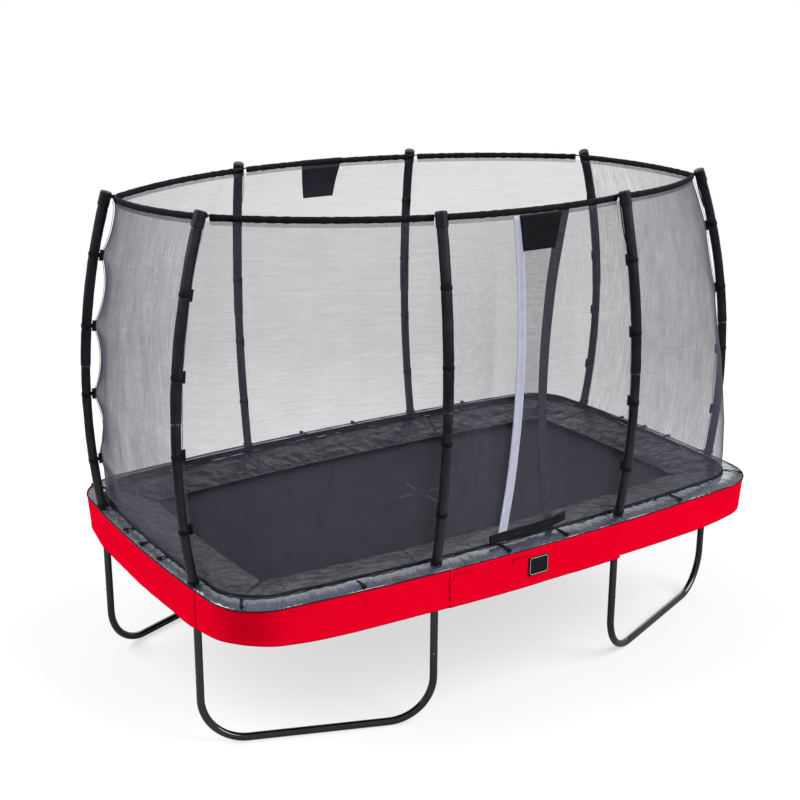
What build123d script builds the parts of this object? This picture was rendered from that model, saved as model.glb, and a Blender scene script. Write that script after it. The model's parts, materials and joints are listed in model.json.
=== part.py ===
"""Rectangular garden trampoline with a bowed steel frame, four U legs and a net enclosure.

Everything is in millimetres. The origin is on the ground below the middle of the jumping bed,
+X runs along the length, the entrance faces -Y and +Z is up.
"""

import os
from dataclasses import dataclass
from math import asin, atan2, cos, hypot, sin, sqrt

from build123d import *

# ---------------------------------------------------------------- driving dimensions
# Frame: a ring of round tube whose sides bow outwards a little
frame_length = 3660.0  # tube centre to tube centre, across the middle of the ends
frame_width = 2166.0  # tube centre to tube centre, across the middle of the long sides
side_bow_radius = 15000.0
end_bow_radius = 9400.0
frame_corner_radius = 330.0
rail_diameter = 42.0
rail_wall = 1.5
rail_height = 889.0  # tube centre above the ground
side_post_offset = 636.0  # posts on the long sides, from the middle
end_post_offset = 616.0  # posts on the ends, from the middle

# T sockets that join rail, leg and pole
socket_length = 150.0
socket_wall = 2.5
socket_drop = 70.0  # length of the leg sleeve below the rail
pole_collar_length = 46.0
pole_collar_wall = 3.5
rail_end_gap = 20.0  # from a post's axis to the end of each rail inside the socket
fit_clearance = 0.4  # radial, tube in socket
leg_clearance = 0.8  # radial, leg post in its looser sleeve

# Legs
leg_diameter = 42.0
leg_wall = 1.5
leg_bend_radius = 250.0
leg_joint_height = 388.0
spigot_length = 60.0
screw_radius = 5.0
screw_head_height = 3.5
screw_rise = 28.0  # screw above the leg joint

# Enclosure poles, each a single bend of tube in a foam sleeve
pole_diameter = 32.0
pole_wall = 1.5
pole_middle_height = 1850.0
pole_head_height = 2762.0
side_pole_bulge = 93.0  # outward shift of the middle of a long-side pole
side_pole_inset = 22.0  # inward shift of its head
side_pole_drift = 29.0  # shift of its head towards the middle of the side
end_pole_bulge = 59.0
end_pole_inset = 142.0
end_pole_drift = 80.0
sleeve_lower_diameter = 51.0
sleeve_upper_diameter = 56.0
sleeve_joint_height = 1812.0
sleeve_clearance = 0.5  # radial, sleeve on pole
cap_diameter = 64.0
cap_above = 32.0  # cap top above the ring
cap_below = 50.0  # cap skirt below the ring

# How far each springy pole's head stands from its nominal place: (x, y, z)
pole_lean = {
    "left_front": (0.0, 5.0, 42.0),
    "front_left": (0.0, 5.0, 18.0),
    "front_right": (-10.0, 10.0, 14.0),
    "right_front": (-10.0, 5.0, -15.0),
    "right_back": (-12.0, 6.0, -26.0),
    "back_right": (-12.0, 6.0, -8.0),
    "back_left": (-48.0, 10.0, 0.0),
    "left_back": (-52.0, 8.0, -10.0),
}

# Ring of flexible rods inside the hem at the top of the net
ring_inset = 46.0  # ring inside the pole axis
ring_bow = 75.0  # outward bow of each rod between two poles
rod_diameter = 9.0
hem_height = 36.0
hem_thickness = 13.0
hem_rise = 9.0  # hem above the rod's axis
hem_clearance = 0.4
hem_gap = 52.0  # bare rod beside each pole head
rod_gap = 1.5  # from a pole cap's ear to the end of a rod
ear_radius = 9.0

# Safety net
net_thickness = 2.0
net_seam_gap = 0.4  # from a pole's plane to the edge of each panel beside it
net_bottom_inset = 46.0  # net foot inside the frame centreline
net_belly = 18.0  # outward belly of a panel halfway between poles
layer_offset = 9.0  # each entrance layer from the middle surface, near the middle
entrance_flat = 260.0  # the entrance layers are flat this far out from the middle
trim_width = 44.0
trim_thickness = 3.0
trim_offset = 15.5  # outer edge trim from the middle surface
trim_spreads = {  # trim centreline from the middle at its foot, halfway up and at its top
    "trim_right": (190.0, 97.0, 160.0),
    "trim_left": (165.0, 72.0, 158.0),
}
trim_foot_gap = 8.0
rivet_radius = 4.0
rivet_clearance = 0.3
rivet_reach = 2.0  # how far a rivet stands out of its trim on each side
border_inner = 64.0  # binding at the net's foot, from the frame centreline
border_outer = 32.0
border_thickness = 3.0
tie_heights = (1240.0, 1640.0, 2040.0, 2440.0)
tie_width = 30.0
tie_thickness = 2.2
tab_width = 20.0
strap_width = 16.0
strap_thickness = 2.0
strap_gap = 1.5  # from the net's foot binding to a strap's end
side_strap_offsets = (200.0, 1100.0)
end_strap_offsets = (0.0, 228.0)
seat_gap = 0.3  # pieces that rest on each other

# Plain panels on the net and skirt
entrance_panel_top = 275.0
entrance_panel_foot = 208.0
entrance_panel_height = 190.0
entrance_panel_shift = -7.0
threshold_length = 530.0
threshold_width = 56.0
threshold_shift = -5.0
threshold_height = 992.0
panel_thickness = 2.0
panel_offset = 19.5  # entrance panel from the net's middle surface
flag_top = 292.0
flag_foot = 216.0
flag_height = 249.0
flag_shift = -51.0
patch_width = 136.0
patch_height = 112.0
patch_shift = -15.0
patch_middle_height = 821.0

# Jumping bed, rings and springs
mat_height = 855.0  # top of the mat
mat_thickness = 3.0
mat_inset = 245.0  # mat edge inside the frame centreline
binding_width = 50.0
binding_thickness = 1.5
vee_length = 42.0
vee_base = 42.0
vee_wire = 4.0
vee_bend = 4.0
spring_diameter = 24.0
spring_barrel_length = 118.0
spring_wire = 4.0
side_springs_between_posts = 7
side_springs_beyond_posts = 5
end_springs_between_posts = 6
spring_pitch = 155.0
corner_spring_shares = (0.27, 0.73)

# Safety pad and skirt
pad_thickness = 22.0
pad_inner_inset = 350.0  # pad's inner edge inside the frame centreline
pad_flat_inset = 68.0  # the pad slopes down to the mat inside this line
cover_overhang_side = 87.0  # skirt face outside the frame centreline, long sides
cover_overhang_end = 34.0
cover_corner_radius = 300.0
skirt_drop = 230.0
skirt_thickness = 2.5
side_seam_offset = 600.0
end_seam_offset = 660.0
seam_gap = 1.0
pole_hole_clearance = 4.0

# ---------------------------------------------------------------- derived sizes
socket_radius = rail_diameter / 2 + fit_clearance + socket_wall
pad_bottom = rail_height + socket_radius + seat_gap
pad_top = pad_bottom + pad_thickness
border_bottom = pad_top + seat_gap
net_bottom = border_bottom + border_thickness + seat_gap
hem_drop = hem_height - hem_rise
cover_top = pad_top


# ---------------------------------------------------------------- plan outline
@dataclass(frozen=True)
class Outline:
    """A rounded rectangle whose sides are shallow arcs, tangent to its corner arcs."""

    half_length: float
    half_width: float
    side_radius: float
    end_radius: float
    corner_radius: float

    def grown(self, by):
        """Return the outline offset outwards by a distance."""
        return Outline(
            self.half_length + by,
            self.half_width + by,
            self.side_radius + by,
            self.end_radius + by,
            self.corner_radius + by,
        )

    def side_y(self, x):
        """Return the distance from the X axis to the long side at x."""
        return self.half_width - self.side_radius + sqrt(self.side_radius**2 - x**2)

    def end_x(self, y):
        """Return the distance from the Y axis to the end at y."""
        return self.half_length - self.end_radius + sqrt(self.end_radius**2 - y**2)

    def corner_centre(self):
        """Return the centre of the corner arc in the +X +Y quarter."""
        side_y = self.half_width - self.side_radius
        end_x = self.half_length - self.end_radius
        to_side = self.side_radius - self.corner_radius
        to_end = self.end_radius - self.corner_radius
        span = hypot(end_x, side_y)
        along = (to_side**2 - to_end**2 + span**2) / (2 * span)
        across = sqrt(to_side**2 - along**2)
        ux, uy = end_x / span, -side_y / span
        return ux * along + uy * across, side_y + uy * along - ux * across

    def side_tangent(self):
        """Return where the long side meets the corner arc, in the +X +Y quarter."""
        cx, cy = self.corner_centre()
        centre_y = self.half_width - self.side_radius
        scale = self.side_radius / hypot(cx, cy - centre_y)
        return cx * scale, centre_y + (cy - centre_y) * scale

    def end_tangent(self):
        """Return where the end meets the corner arc, in the +X +Y quarter."""
        cx, cy = self.corner_centre()
        centre_x = self.half_length - self.end_radius
        scale = self.end_radius / hypot(cx - centre_x, cy)
        return centre_x + (cx - centre_x) * scale, cy * scale

    def mitre_point(self, inset):
        """Return where the side and end arcs, offset inwards, would meet without a corner arc."""
        sharp = Outline(
            self.half_length - inset,
            self.half_width - inset,
            self.side_radius - inset,
            self.end_radius - inset,
            0.0,
        )
        return sharp.corner_centre()

    def corner_point(self, share=0.5):
        """Return a point of the corner arc, from its side end (0) to its end end (1)."""
        cx, cy = self.corner_centre()
        sx, sy = self.side_tangent()
        ex, ey = self.end_tangent()
        start, stop = atan2(sy - cy, sx - cx), atan2(ey - cy, ex - cx)
        angle = start + (stop - start) * share
        return cx + self.corner_radius * cos(angle), cy + self.corner_radius * sin(angle)


    def quarter_length(self):
        """Return the length of a quarter of the outline."""
        side, corner, end = self.quarter_parts()
        return side + corner + end

    def quarter_parts(self):
        """Return the lengths of the half side, the corner and the half end of a quarter."""
        cx, cy = self.corner_centre()
        sx, sy = self.side_tangent()
        ex, ey = self.end_tangent()
        turn = atan2(sy - cy, sx - cx) - atan2(ey - cy, ex - cx)
        side = self.side_radius * asin(sx / self.side_radius)
        end = self.end_radius * asin(ey / self.end_radius)
        return side, self.corner_radius * turn, end

    def quarter_point(self, distance):
        """Return the point a distance along the +X +Y quarter, from the middle of the side."""
        side, corner, end = self.quarter_parts()
        if distance < side:
            angle = distance / self.side_radius
            offset = self.half_width - self.side_radius
            return self.side_radius * sin(angle), offset + self.side_radius * cos(angle)
        if distance < side + corner:
            return self.corner_point((distance - side) / corner)
        angle = (side + corner + end - distance) / self.end_radius
        offset = self.half_length - self.end_radius
        return offset + self.end_radius * cos(angle), self.end_radius * sin(angle)

    def point(self, distance):
        """Return the point a distance round the outline, from the middle of the front."""
        quarter = self.quarter_length()
        turn = distance % (4 * quarter)
        sector = int(turn // quarter)
        rest = turn - sector * quarter
        sign_x, sign_y = ((1, -1), (1, 1), (-1, 1), (-1, -1))[sector]
        x, y = self.quarter_point(rest if sector % 2 == 0 else quarter - rest)
        return Vector(sign_x * x, sign_y * y)

    def outward(self, distance):
        """Return the outward unit normal a distance round the outline."""
        step = 0.5
        along = (self.point(distance + step) - self.point(distance - step)).normalized()
        return Vector(along.Y, -along.X)

    def post_distance(self, name):
        """Return how far round the outline a post stands."""
        sign_x, sign_y, on_side = pole_signs[name]
        quarter = self.quarter_length()
        shift = self.side_radius * asin(side_post_offset / side_bow_radius)
        if not on_side:
            shift = quarter - self.end_radius * asin(end_post_offset / end_bow_radius)
        if sign_y < 0:
            return shift if sign_x > 0 else 4 * quarter - shift
        return 2 * quarter - shift if sign_x > 0 else 2 * quarter + shift


# name: (x sign, y sign, stands on a long side), going round from the left front
pole_signs = {
    "left_front": (-1, -1, False),
    "front_left": (-1, -1, True),
    "front_right": (1, -1, True),
    "right_front": (1, -1, False),
    "right_back": (1, 1, False),
    "back_right": (1, 1, True),
    "back_left": (-1, 1, True),
    "left_back": (-1, 1, False),
}
corners = {"front_left": (-1, -1), "front_right": (1, -1), "back_right": (1, 1), "back_left": (-1, 1)}

frame_line = Outline(
    frame_length / 2, frame_width / 2, side_bow_radius, end_bow_radius, frame_corner_radius
)
cover_line = Outline(
    frame_length / 2 + cover_overhang_end,
    frame_width / 2 + cover_overhang_side,
    side_bow_radius + cover_overhang_side,
    end_bow_radius + cover_overhang_end,
    cover_corner_radius,
)


def outline_sketch(outline, height):
    """Return the filled outline as a sketch at a height."""
    with BuildSketch(Plane.XY.offset(height)) as sketch:
        with BuildLine():
            sx, sy = outline.side_tangent()
            ex, ey = outline.end_tangent()
            mx, my = outline.corner_point()
            for sign_x, sign_y in ((1, 1), (-1, 1), (-1, -1), (1, -1)):
                ThreePointArc(
                    (sign_x * sx, sign_y * sy),
                    (sign_x * mx, sign_y * my),
                    (sign_x * ex, sign_y * ey),
                )
            for sign in (1, -1):
                ThreePointArc((-sx, sign * sy), (0, sign * outline.half_width), (sx, sign * sy))
                ThreePointArc((sign * ex, -ey), (sign * outline.half_length, 0), (sign * ex, ey))
        make_face()
    return sketch.sketch


# ---------------------------------------------------------------- posts and poles
side_post_y = frame_line.side_y(side_post_offset)
end_post_x = frame_line.end_x(end_post_offset)


def post_point(name):
    """Return a post's place in plan."""
    sign_x, sign_y, on_side = pole_signs[name]
    if on_side:
        return Vector(sign_x * side_post_offset, sign_y * side_post_y)
    return Vector(sign_x * end_post_x, sign_y * end_post_offset)


def rail_direction(name):
    """Return the unit direction of the rail at a post."""
    x, y = post_point(name).X, post_point(name).Y
    if pole_signs[name][2]:
        centre_y = pole_signs[name][1] * (frame_width / 2 - side_bow_radius)
        return Vector(-(y - centre_y), x).normalized()
    centre_x = pole_signs[name][0] * (frame_length / 2 - end_bow_radius)
    return Vector(-y, x - centre_x).normalized()


def pole_points(name):
    """Return the foot, middle and head of a pole's centreline."""
    sign_x, sign_y, on_side = pole_signs[name]
    foot = post_point(name)
    lean = Vector(*pole_lean[name])
    if on_side:
        middle = foot + Vector(-sign_x * 4, sign_y * side_pole_bulge)
        head = foot - Vector(sign_x * side_pole_drift, sign_y * side_pole_inset)
    else:
        middle = foot + Vector(sign_x * end_pole_bulge, -sign_y * end_pole_drift / 5)
        head = foot - Vector(sign_x * end_pole_inset, sign_y * end_pole_drift)
    return (
        foot + Vector(0, 0, rail_height),
        middle + Vector(0, 0, pole_middle_height),
        head + Vector(0, 0, pole_head_height) + lean,
    )


pole_arcs = {name: ThreePointArc(*pole_points(name)) for name in pole_signs}


def share_at_height(arc, height):
    """Return the share of a rising arc's length at which it reaches a height."""
    low, high = 0.0, 1.0
    while high - low > 1e-7:
        half = (low + high) / 2
        if (arc @ half).Z < height:
            low = half
        else:
            high = half
    return low


def inward(name):
    """Return the horizontal unit direction from a pole's head towards the middle."""
    sign_x, sign_y, on_side = pole_signs[name]
    aim = Vector(-sign_x * 0.08, -sign_y) if on_side else Vector(-sign_x, -sign_y * 0.35)
    return aim.normalized()


def ring_point(name):
    """Return the point of the top ring beside a pole's head."""
    return pole_points(name)[2] + inward(name) * ring_inset


def ring_arc(start_name, end_name):
    """Return the bowed ring rod's centreline between two pole heads."""
    start, end = ring_point(start_name), ring_point(end_name)
    chord = (end - start).normalized()
    outward = Vector(chord.Y, -chord.X).normalized()
    middle = (start + end) * 0.5
    if outward.dot(Vector(middle.X, middle.Y)) < 0:
        outward = outward * -1
    return ThreePointArc(start, middle + outward * ring_bow, end)


ring_order = list(pole_signs)
ring_spans = list(zip(ring_order, ring_order[1:] + ring_order[:1]))
ring_arcs = {span: ring_arc(*span) for span in ring_spans}


def inner_arc(arc, start_gap, end_gap):
    """Return an arc shortened by a distance at each end."""
    first, last = start_gap / arc.length, 1 - end_gap / arc.length
    return ThreePointArc(arc @ first, arc @ ((first + last) / 2), arc @ last)


def tube_along(path, outer_radius, inner_radius):
    """Return a round tube swept along an edge or wire."""
    with BuildPart() as tube:
        with BuildSketch(Plane(origin=path @ 0, z_dir=path % 0)):
            Circle(outer_radius)
            Circle(inner_radius, mode=Mode.SUBTRACT)
        sweep(path=path)
    return tube.part


def straight_tube(line, outer_radius, inner_radius):
    """Return a round tube extruded along a straight edge."""
    with BuildPart() as tube:
        with BuildSketch(Plane(origin=line @ 0, z_dir=line % 0)):
            Circle(outer_radius)
            Circle(inner_radius, mode=Mode.SUBTRACT)
        extrude(amount=line.length)
    return tube.part


def write(builder, name):
    """Label a finished piece and write its STEP file."""
    builder.part.label = name
    export_step(builder.part, f"parts/{name}.step")


os.makedirs("parts", exist_ok=True)

# ---------------------------------------------------------------- frame rails
rail_radius = rail_diameter / 2
half_gap_side = side_post_offset - rail_end_gap
half_gap_end = end_post_offset - rail_end_gap

for name, sign in (("front", -1), ("back", 1)):
    with BuildPart() as side_rail:
        with BuildLine(Plane.XY.offset(rail_height)) as side_path:
            end_y = sign * frame_line.side_y(half_gap_side)
            ThreePointArc(
                (-half_gap_side, end_y), (0, sign * frame_line.half_width), (half_gap_side, end_y)
            )
        add(tube_along(side_path.line, rail_radius, rail_radius - rail_wall))
    write(side_rail, f"rail_{name}")

for name, sign in (("left", -1), ("right", 1)):
    with BuildPart() as end_rail:
        with BuildLine(Plane.XY.offset(rail_height)) as end_path:
            end_x = sign * frame_line.end_x(half_gap_end)
            ThreePointArc(
                (end_x, -half_gap_end), (sign * frame_line.half_length, 0), (end_x, half_gap_end)
            )
        add(tube_along(end_path.line, rail_radius, rail_radius - rail_wall))
    write(end_rail, f"rail_{name}")

for name, (sign_x, sign_y) in corners.items():
    side_x, side_y = frame_line.side_tangent()
    far_x, far_y = frame_line.end_tangent()
    bend_x, bend_y = frame_line.corner_point()
    side_start = side_post_offset + rail_end_gap
    end_start = end_post_offset + rail_end_gap
    side_mid = (side_start + side_x) / 2
    end_mid = (end_start + far_y) / 2
    with BuildPart() as corner_rail:
        with BuildLine(Plane.XY.offset(rail_height)) as corner_path:
            ThreePointArc(
                (sign_x * side_start, sign_y * frame_line.side_y(side_start)),
                (sign_x * side_mid, sign_y * frame_line.side_y(side_mid)),
                (sign_x * side_x, sign_y * side_y),
            )
            ThreePointArc(
                (sign_x * side_x, sign_y * side_y),
                (sign_x * bend_x, sign_y * bend_y),
                (sign_x * far_x, sign_y * far_y),
            )
            ThreePointArc(
                (sign_x * far_x, sign_y * far_y),
                (sign_x * frame_line.end_x(end_mid), sign_y * end_mid),
                (sign_x * frame_line.end_x(end_start), sign_y * end_start),
            )
        add(tube_along(corner_path.line, rail_radius, rail_radius - rail_wall))
    write(corner_rail, f"rail_corner_{name}")

# ---------------------------------------------------------------- T sockets
socket_bore = rail_radius + fit_clearance
leg_bore = leg_diameter / 2 + leg_clearance
pole_bore = pole_diameter / 2 + sleeve_clearance
collar_radius = pole_bore + pole_collar_wall

with BuildPart() as frame_sockets:
    for name in pole_signs:
        centre = post_point(name) + Vector(0, 0, rail_height)
        with BuildSketch(Plane(origin=centre, z_dir=rail_direction(name))):
            Circle(socket_bore + socket_wall)
        extrude(amount=socket_length / 2, both=True)
        with BuildSketch(Plane.XY.offset(rail_height)):
            with Locations((centre.X, centre.Y)):
                Circle(leg_bore + socket_wall)
        extrude(amount=-(rail_radius + socket_drop))
        with BuildSketch(Plane(origin=centre, z_dir=pole_arcs[name] % 0)):
            Circle(collar_radius)
        extrude(amount=pole_collar_length)
    for name in pole_signs:
        centre = post_point(name) + Vector(0, 0, rail_height)
        with BuildSketch(Plane(origin=centre, z_dir=rail_direction(name))):
            Circle(socket_bore)
        extrude(amount=socket_length / 2, both=True, mode=Mode.SUBTRACT)
        with BuildSketch(Plane.XY.offset(rail_height)):
            with Locations((centre.X, centre.Y)):
                Circle(leg_bore)
        extrude(amount=-(rail_radius + socket_drop), mode=Mode.SUBTRACT)
        with BuildSketch(Plane(origin=centre, z_dir=pole_arcs[name] % 0)):
            Circle(pole_bore)
        extrude(amount=pole_collar_length, mode=Mode.SUBTRACT)
write(frame_sockets, "frame_sockets")

# ---------------------------------------------------------------- legs
leg_radius = leg_diameter / 2
spigot_radius = leg_radius - leg_wall - fit_clearance
leg_top = rail_height - rail_radius - 3.0
leg_pairs = {
    "front_left": ("left_front", "front_left"),
    "front_right": ("front_right", "right_front"),
    "back_right": ("right_back", "back_right"),
    "back_left": ("back_left", "left_back"),
}

for name, pair in leg_pairs.items():
    first, second = (post_point(post) for post in pair)
    span = (second - first).length
    leg_plane = Plane(
        origin=first, x_dir=second - first, z_dir=(second - first).cross(Vector(0, 0, 1))
    )
    with BuildPart() as leg_base:
        with BuildLine(leg_plane) as leg_path:
            FilletPolyline(
                (0, leg_joint_height),
                (0, leg_radius),
                (span, leg_radius),
                (span, leg_joint_height),
                radius=leg_bend_radius,
            )
        for edge in leg_path.line.edges().filter_by(GeomType.LINE):
            add(straight_tube(edge, leg_radius, leg_radius - leg_wall))
        for edge in leg_path.line.edges().filter_by(GeomType.CIRCLE):
            add(tube_along(edge, leg_radius, leg_radius - leg_wall))
        for post in (first, second):
            with BuildSketch(Plane.XY.offset(leg_joint_height - spigot_length / 3)):
                with Locations((post.X, post.Y)):
                    Circle(leg_radius - leg_wall / 2)
                    Circle(spigot_radius - leg_wall, mode=Mode.SUBTRACT)
            extrude(amount=spigot_length / 3)
            with BuildSketch(Plane.XY.offset(leg_joint_height - spigot_length / 3)):
                with Locations((post.X, post.Y)):
                    Circle(spigot_radius)
                    Circle(spigot_radius - leg_wall, mode=Mode.SUBTRACT)
            extrude(amount=spigot_length * 4 / 3)
    write(leg_base, f"leg_base_{name}")
    with BuildPart() as leg_posts:
        with BuildSketch(Plane.XY.offset(leg_joint_height + seat_gap)):
            with Locations(*((post.X, post.Y) for post in (first, second))):
                Circle(leg_radius)
                Circle(leg_radius - leg_wall, mode=Mode.SUBTRACT)
        extrude(amount=leg_top - leg_joint_height - seat_gap)
    write(leg_posts, f"leg_posts_{name}")

with BuildPart() as leg_screws:
    for name in pole_signs:
        post = post_point(name)
        outward = Vector(post.X, post.Y).normalized()
        for height, radius in (
            (leg_joint_height + screw_rise, leg_radius),
            (rail_height - rail_radius - socket_drop / 2, leg_bore + socket_wall),
        ):
            seat = post + outward * (radius + seat_gap) + Vector(0, 0, height)
            with BuildSketch(Plane(origin=seat, z_dir=outward)):
                Circle(screw_radius)
            extrude(amount=screw_head_height, taper=20)
write(leg_screws, "leg_screws")

# ---------------------------------------------------------------- poles and sleeves
pole_radius = pole_diameter / 2
for name, pair in leg_pairs.items():
    with BuildPart() as pole_pair:
        for pole in pair:
            add(tube_along(pole_arcs[pole], pole_radius, pole_radius - pole_wall))
    write(pole_pair, f"poles_{name}")


def sleeve(name, low, high, diameter):
    """Return a foam sleeve round a pole between two heights."""
    arc = pole_arcs[name]
    first, last = share_at_height(arc, low), share_at_height(arc, high)
    path = ThreePointArc(arc @ first, arc @ ((first + last) / 2), arc @ last)
    return tube_along(path, diameter / 2, pole_radius + sleeve_clearance)


sleeve_foot_height = pad_top + 6.0
with BuildPart() as sleeves_lower:
    for name in pole_signs:
        add(sleeve(name, sleeve_foot_height, sleeve_joint_height - seat_gap, sleeve_lower_diameter))
write(sleeves_lower, "sleeves_lower")

with BuildPart() as sleeves_upper:
    for name in pole_signs:
        top = pole_points(name)[2].Z - cap_below - 2 * seat_gap
        add(sleeve(name, sleeve_joint_height + seat_gap, top, sleeve_upper_diameter))
write(sleeves_upper, "sleeves_upper")

with BuildPart() as pole_caps:
    for name in pole_signs:
        head = pole_points(name)[2]
        along = (pole_arcs[name] % 1).normalized()
        base = head - along * cap_below
        with BuildSketch(Plane(origin=base, z_dir=along)):
            Circle(cap_diameter / 2)
        extrude(amount=cap_below + cap_above)
        fillet(faces().sort_by_distance(head + along * cap_above)[0].edges(), cap_diameter / 6)
        with BuildSketch(Plane(origin=head, z_dir=inward(name))):
            Rectangle(2 * ear_radius, 2 * ear_radius)
        extrude(amount=ring_inset)
        with BuildSketch(Plane.XY.offset(head.Z - ear_radius)):
            with Locations((ring_point(name).X, ring_point(name).Y)):
                Circle(ear_radius)
        extrude(amount=2 * ear_radius)
    for name in pole_signs:
        head = pole_points(name)[2]
        along = (pole_arcs[name] % 1).normalized()
        with BuildSketch(Plane(origin=head - along * cap_below, z_dir=along)):
            Circle(pole_radius + sleeve_clearance)
        extrude(amount=cap_below + seat_gap, mode=Mode.SUBTRACT)
write(pole_caps, "pole_caps")

# ---------------------------------------------------------------- top ring and hem
with BuildPart() as ring_rods:
    for arc in ring_arcs.values():
        path = inner_arc(arc, ear_radius + rod_gap, ear_radius + rod_gap)
        with BuildSketch(Plane(origin=path @ 0, z_dir=path % 0)):
            Circle(rod_diameter / 2)
        sweep(path=path)
write(ring_rods, "ring_rods")

with BuildPart() as net_hems:
    for arc in ring_arcs.values():
        path = inner_arc(arc, hem_gap, hem_gap)
        across = (path % 0).cross(Vector(0, 0, 1))
        with BuildSketch(Plane(origin=path @ 0, x_dir=across, z_dir=path % 0)) as hem_section:
            with Locations((0, hem_height / 2 - hem_rise)):
                Rectangle(hem_thickness, hem_height)
            Circle(rod_diameter / 2 + hem_clearance, mode=Mode.SUBTRACT)
        sweep(path=path)
write(net_hems, "net_hems")

# ---------------------------------------------------------------- safety net
net_line = frame_line.grown(-net_bottom_inset)
front_span = ("front_left", "front_right")
back_span = ("back_right", "back_left")
net_levels = (0.0, 0.1, 0.28, 0.5, 0.72, 0.88, 1.0)


def net_top(name):
    """Return the height of the net's upper edge at a pole."""
    return ring_point(name).Z - hem_drop - seat_gap


def net_edge(name, level):
    """Return the net's edge beside a pole, from its foot (level 0) to its top (level 1)."""
    height = net_bottom + (net_top(name) - net_bottom) * level
    arc = pole_arcs[name]
    foot_normal = frame_line.outward(frame_line.post_distance(name)) * -1
    aim = foot_normal * (1 - level) + inward(name) * level
    point = arc @ share_at_height(arc, height) + aim.normalized() * net_bottom_inset
    return Vector(point.X, point.Y, height)


def net_surface(span, share, level):
    """Return a point of the net between two poles, on the tilted plane of a level."""
    start, end = net_edge(span[0], level), net_edge(span[1], level)
    foot_start, foot_end = net_edge(span[0], 0.0), net_edge(span[1], 0.0)
    top_start, top_end = net_edge(span[0], 1.0), net_edge(span[1], 1.0)
    first, last = (net_line.post_distance(name) for name in span)
    if last < first:
        last += 4 * net_line.quarter_length()
    foot = net_line.point(first + (last - first) * share)
    top = ring_arcs[span] @ share
    foot_shift = foot - (foot_start * (1 - share) + foot_end * share)
    top_shift = top - (top_start * (1 - share) + top_end * share)
    chord = (end - start).normalized()
    outward = Vector(chord.Y, -chord.X).normalized()
    belly = 16 * net_belly * share * (1 - share) * level * (1 - level)
    shift = foot_shift * (1 - level) ** 1.6 + top_shift * level**2 + outward * belly
    return start * (1 - share) + end * share + Vector(shift.X, shift.Y)


def entrance_point(share, level, layer):
    """Return a point of an entrance layer: 1 outer, -1 inner, 0 the surface between them."""
    point = net_surface(front_span, share, level)
    width = side_post_offset - entrance_flat
    fade = min(1.0, max(0.0, (abs(point.X) - entrance_flat) / width))
    flat_y = front_flat_y(level)
    return Vector(
        point.X, flat_y * (1 - fade) + point.Y * fade - layer * layer_offset * (1 - fade) ** 2, 0
    )


def front_flat_y(level):
    """Return where the entrance's middle stands at a level: it hangs straight from hem to foot."""
    shares = (0.5 - entrance_flat / 2 / side_post_offset, 0.5 + entrance_flat / 2 / side_post_offset)
    foot = sum(net_surface(front_span, share, 0.0).Y for share in shares) / 2
    top = sum(net_surface(front_span, share, 1.0).Y for share in shares) / 2
    return foot * (1 - level) + top * level


def net_section(span, level, points, thickness):
    """Return a thin band through plan points, on the tilted plane of a level."""
    start, end = net_edge(span[0], level), net_edge(span[1], level)
    chord = end - start
    outward = Vector(chord.Y, -chord.X).normalized()
    plane = Plane(origin=start, x_dir=chord, z_dir=chord.cross(outward))
    flat_chord = Vector(chord.X, chord.Y)
    face_points = []
    for point in points:
        offset = Vector(point.X - start.X, point.Y - start.Y)
        along = offset.dot(flat_chord) / flat_chord.length**2
        face_points.append(Vector(along * chord.length, offset.dot(outward)))
    back_points = []
    for index, point in enumerate(face_points):
        before = face_points[max(index - 1, 0)]
        after = face_points[min(index + 1, len(face_points) - 1)]
        slope = (after - before).normalized()
        back_points.append(point + Vector(-slope.Y, slope.X) * thickness)
    with BuildSketch(plane) as section:
        with BuildLine():
            face_line = Spline(*face_points)
            back_line = Spline(*back_points)
            Line(face_line @ 0, back_line @ 0)
            Line(face_line @ 1, back_line @ 1)
        make_face()
    return section.sketch


def net_panel(span, count):
    """Return a net panel between two poles, lofted through several levels."""
    start, end = ring_point(span[0]), ring_point(span[1])
    margin = net_seam_gap / (end - start).length
    shares = [margin + (1 - 2 * margin) * step / (count - 1) for step in range(count)]
    with BuildPart() as panel:
        for level in net_levels:
            points = [net_surface(span, share, level) for share in shares]
            add(net_section(span, level, points, net_thickness))
        loft()
    return panel.part


def trim_spread(name, level):
    """Return an edge trim's distance from the middle, from its foot (0) to its top (1)."""
    foot, middle, top = trim_spreads[name]
    return (
        foot * (1 - level) * (1 - 2 * level)
        + 4 * middle * level * (1 - level)
        + top * level * (2 * level - 1)
    )


def entrance_layer(trim_name, side, layer):
    """Return one entrance layer, from its pole past the middle: side 1 is the right pole."""
    with BuildPart() as panel:
        for level in net_levels:
            span_width = net_edge(front_span[1], level).X - net_edge(front_span[0], level).X
            margin = net_seam_gap / span_width
            reach = 0.5 + (trim_spread(trim_name, level) + trim_width / 4) / span_width
            shares = [margin + (reach - margin) * step / 8 for step in range(9)]
            if side > 0:
                shares = [1 - share for share in reversed(shares)]
            points = [entrance_point(share, level, layer) for share in shares]
            add(net_section(front_span, level, points, net_thickness))
        loft()
    return panel.part


net_panels = {
    "net_corner_front_left": ("left_front", "front_left"),
    "net_corner_front_right": ("front_right", "right_front"),
    "net_right": ("right_front", "right_back"),
    "net_corner_back_right": ("right_back", "back_right"),
    "net_back": back_span,
    "net_corner_back_left": ("back_left", "left_back"),
    "net_left": ("left_back", "left_front"),
}
for name, span in net_panels.items():
    with BuildPart() as panel_piece:
        add(net_panel(span, 11 if "corner" in name else 7))
    write(panel_piece, name)

for name, trim_name, side, layer in (
    ("net_front_left", "trim_left", -1, -1),
    ("net_front_right", "trim_right", 1, 1),
):
    with BuildPart() as layer_piece:
        add(entrance_layer(trim_name, side, layer))
    write(layer_piece, name)

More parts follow.
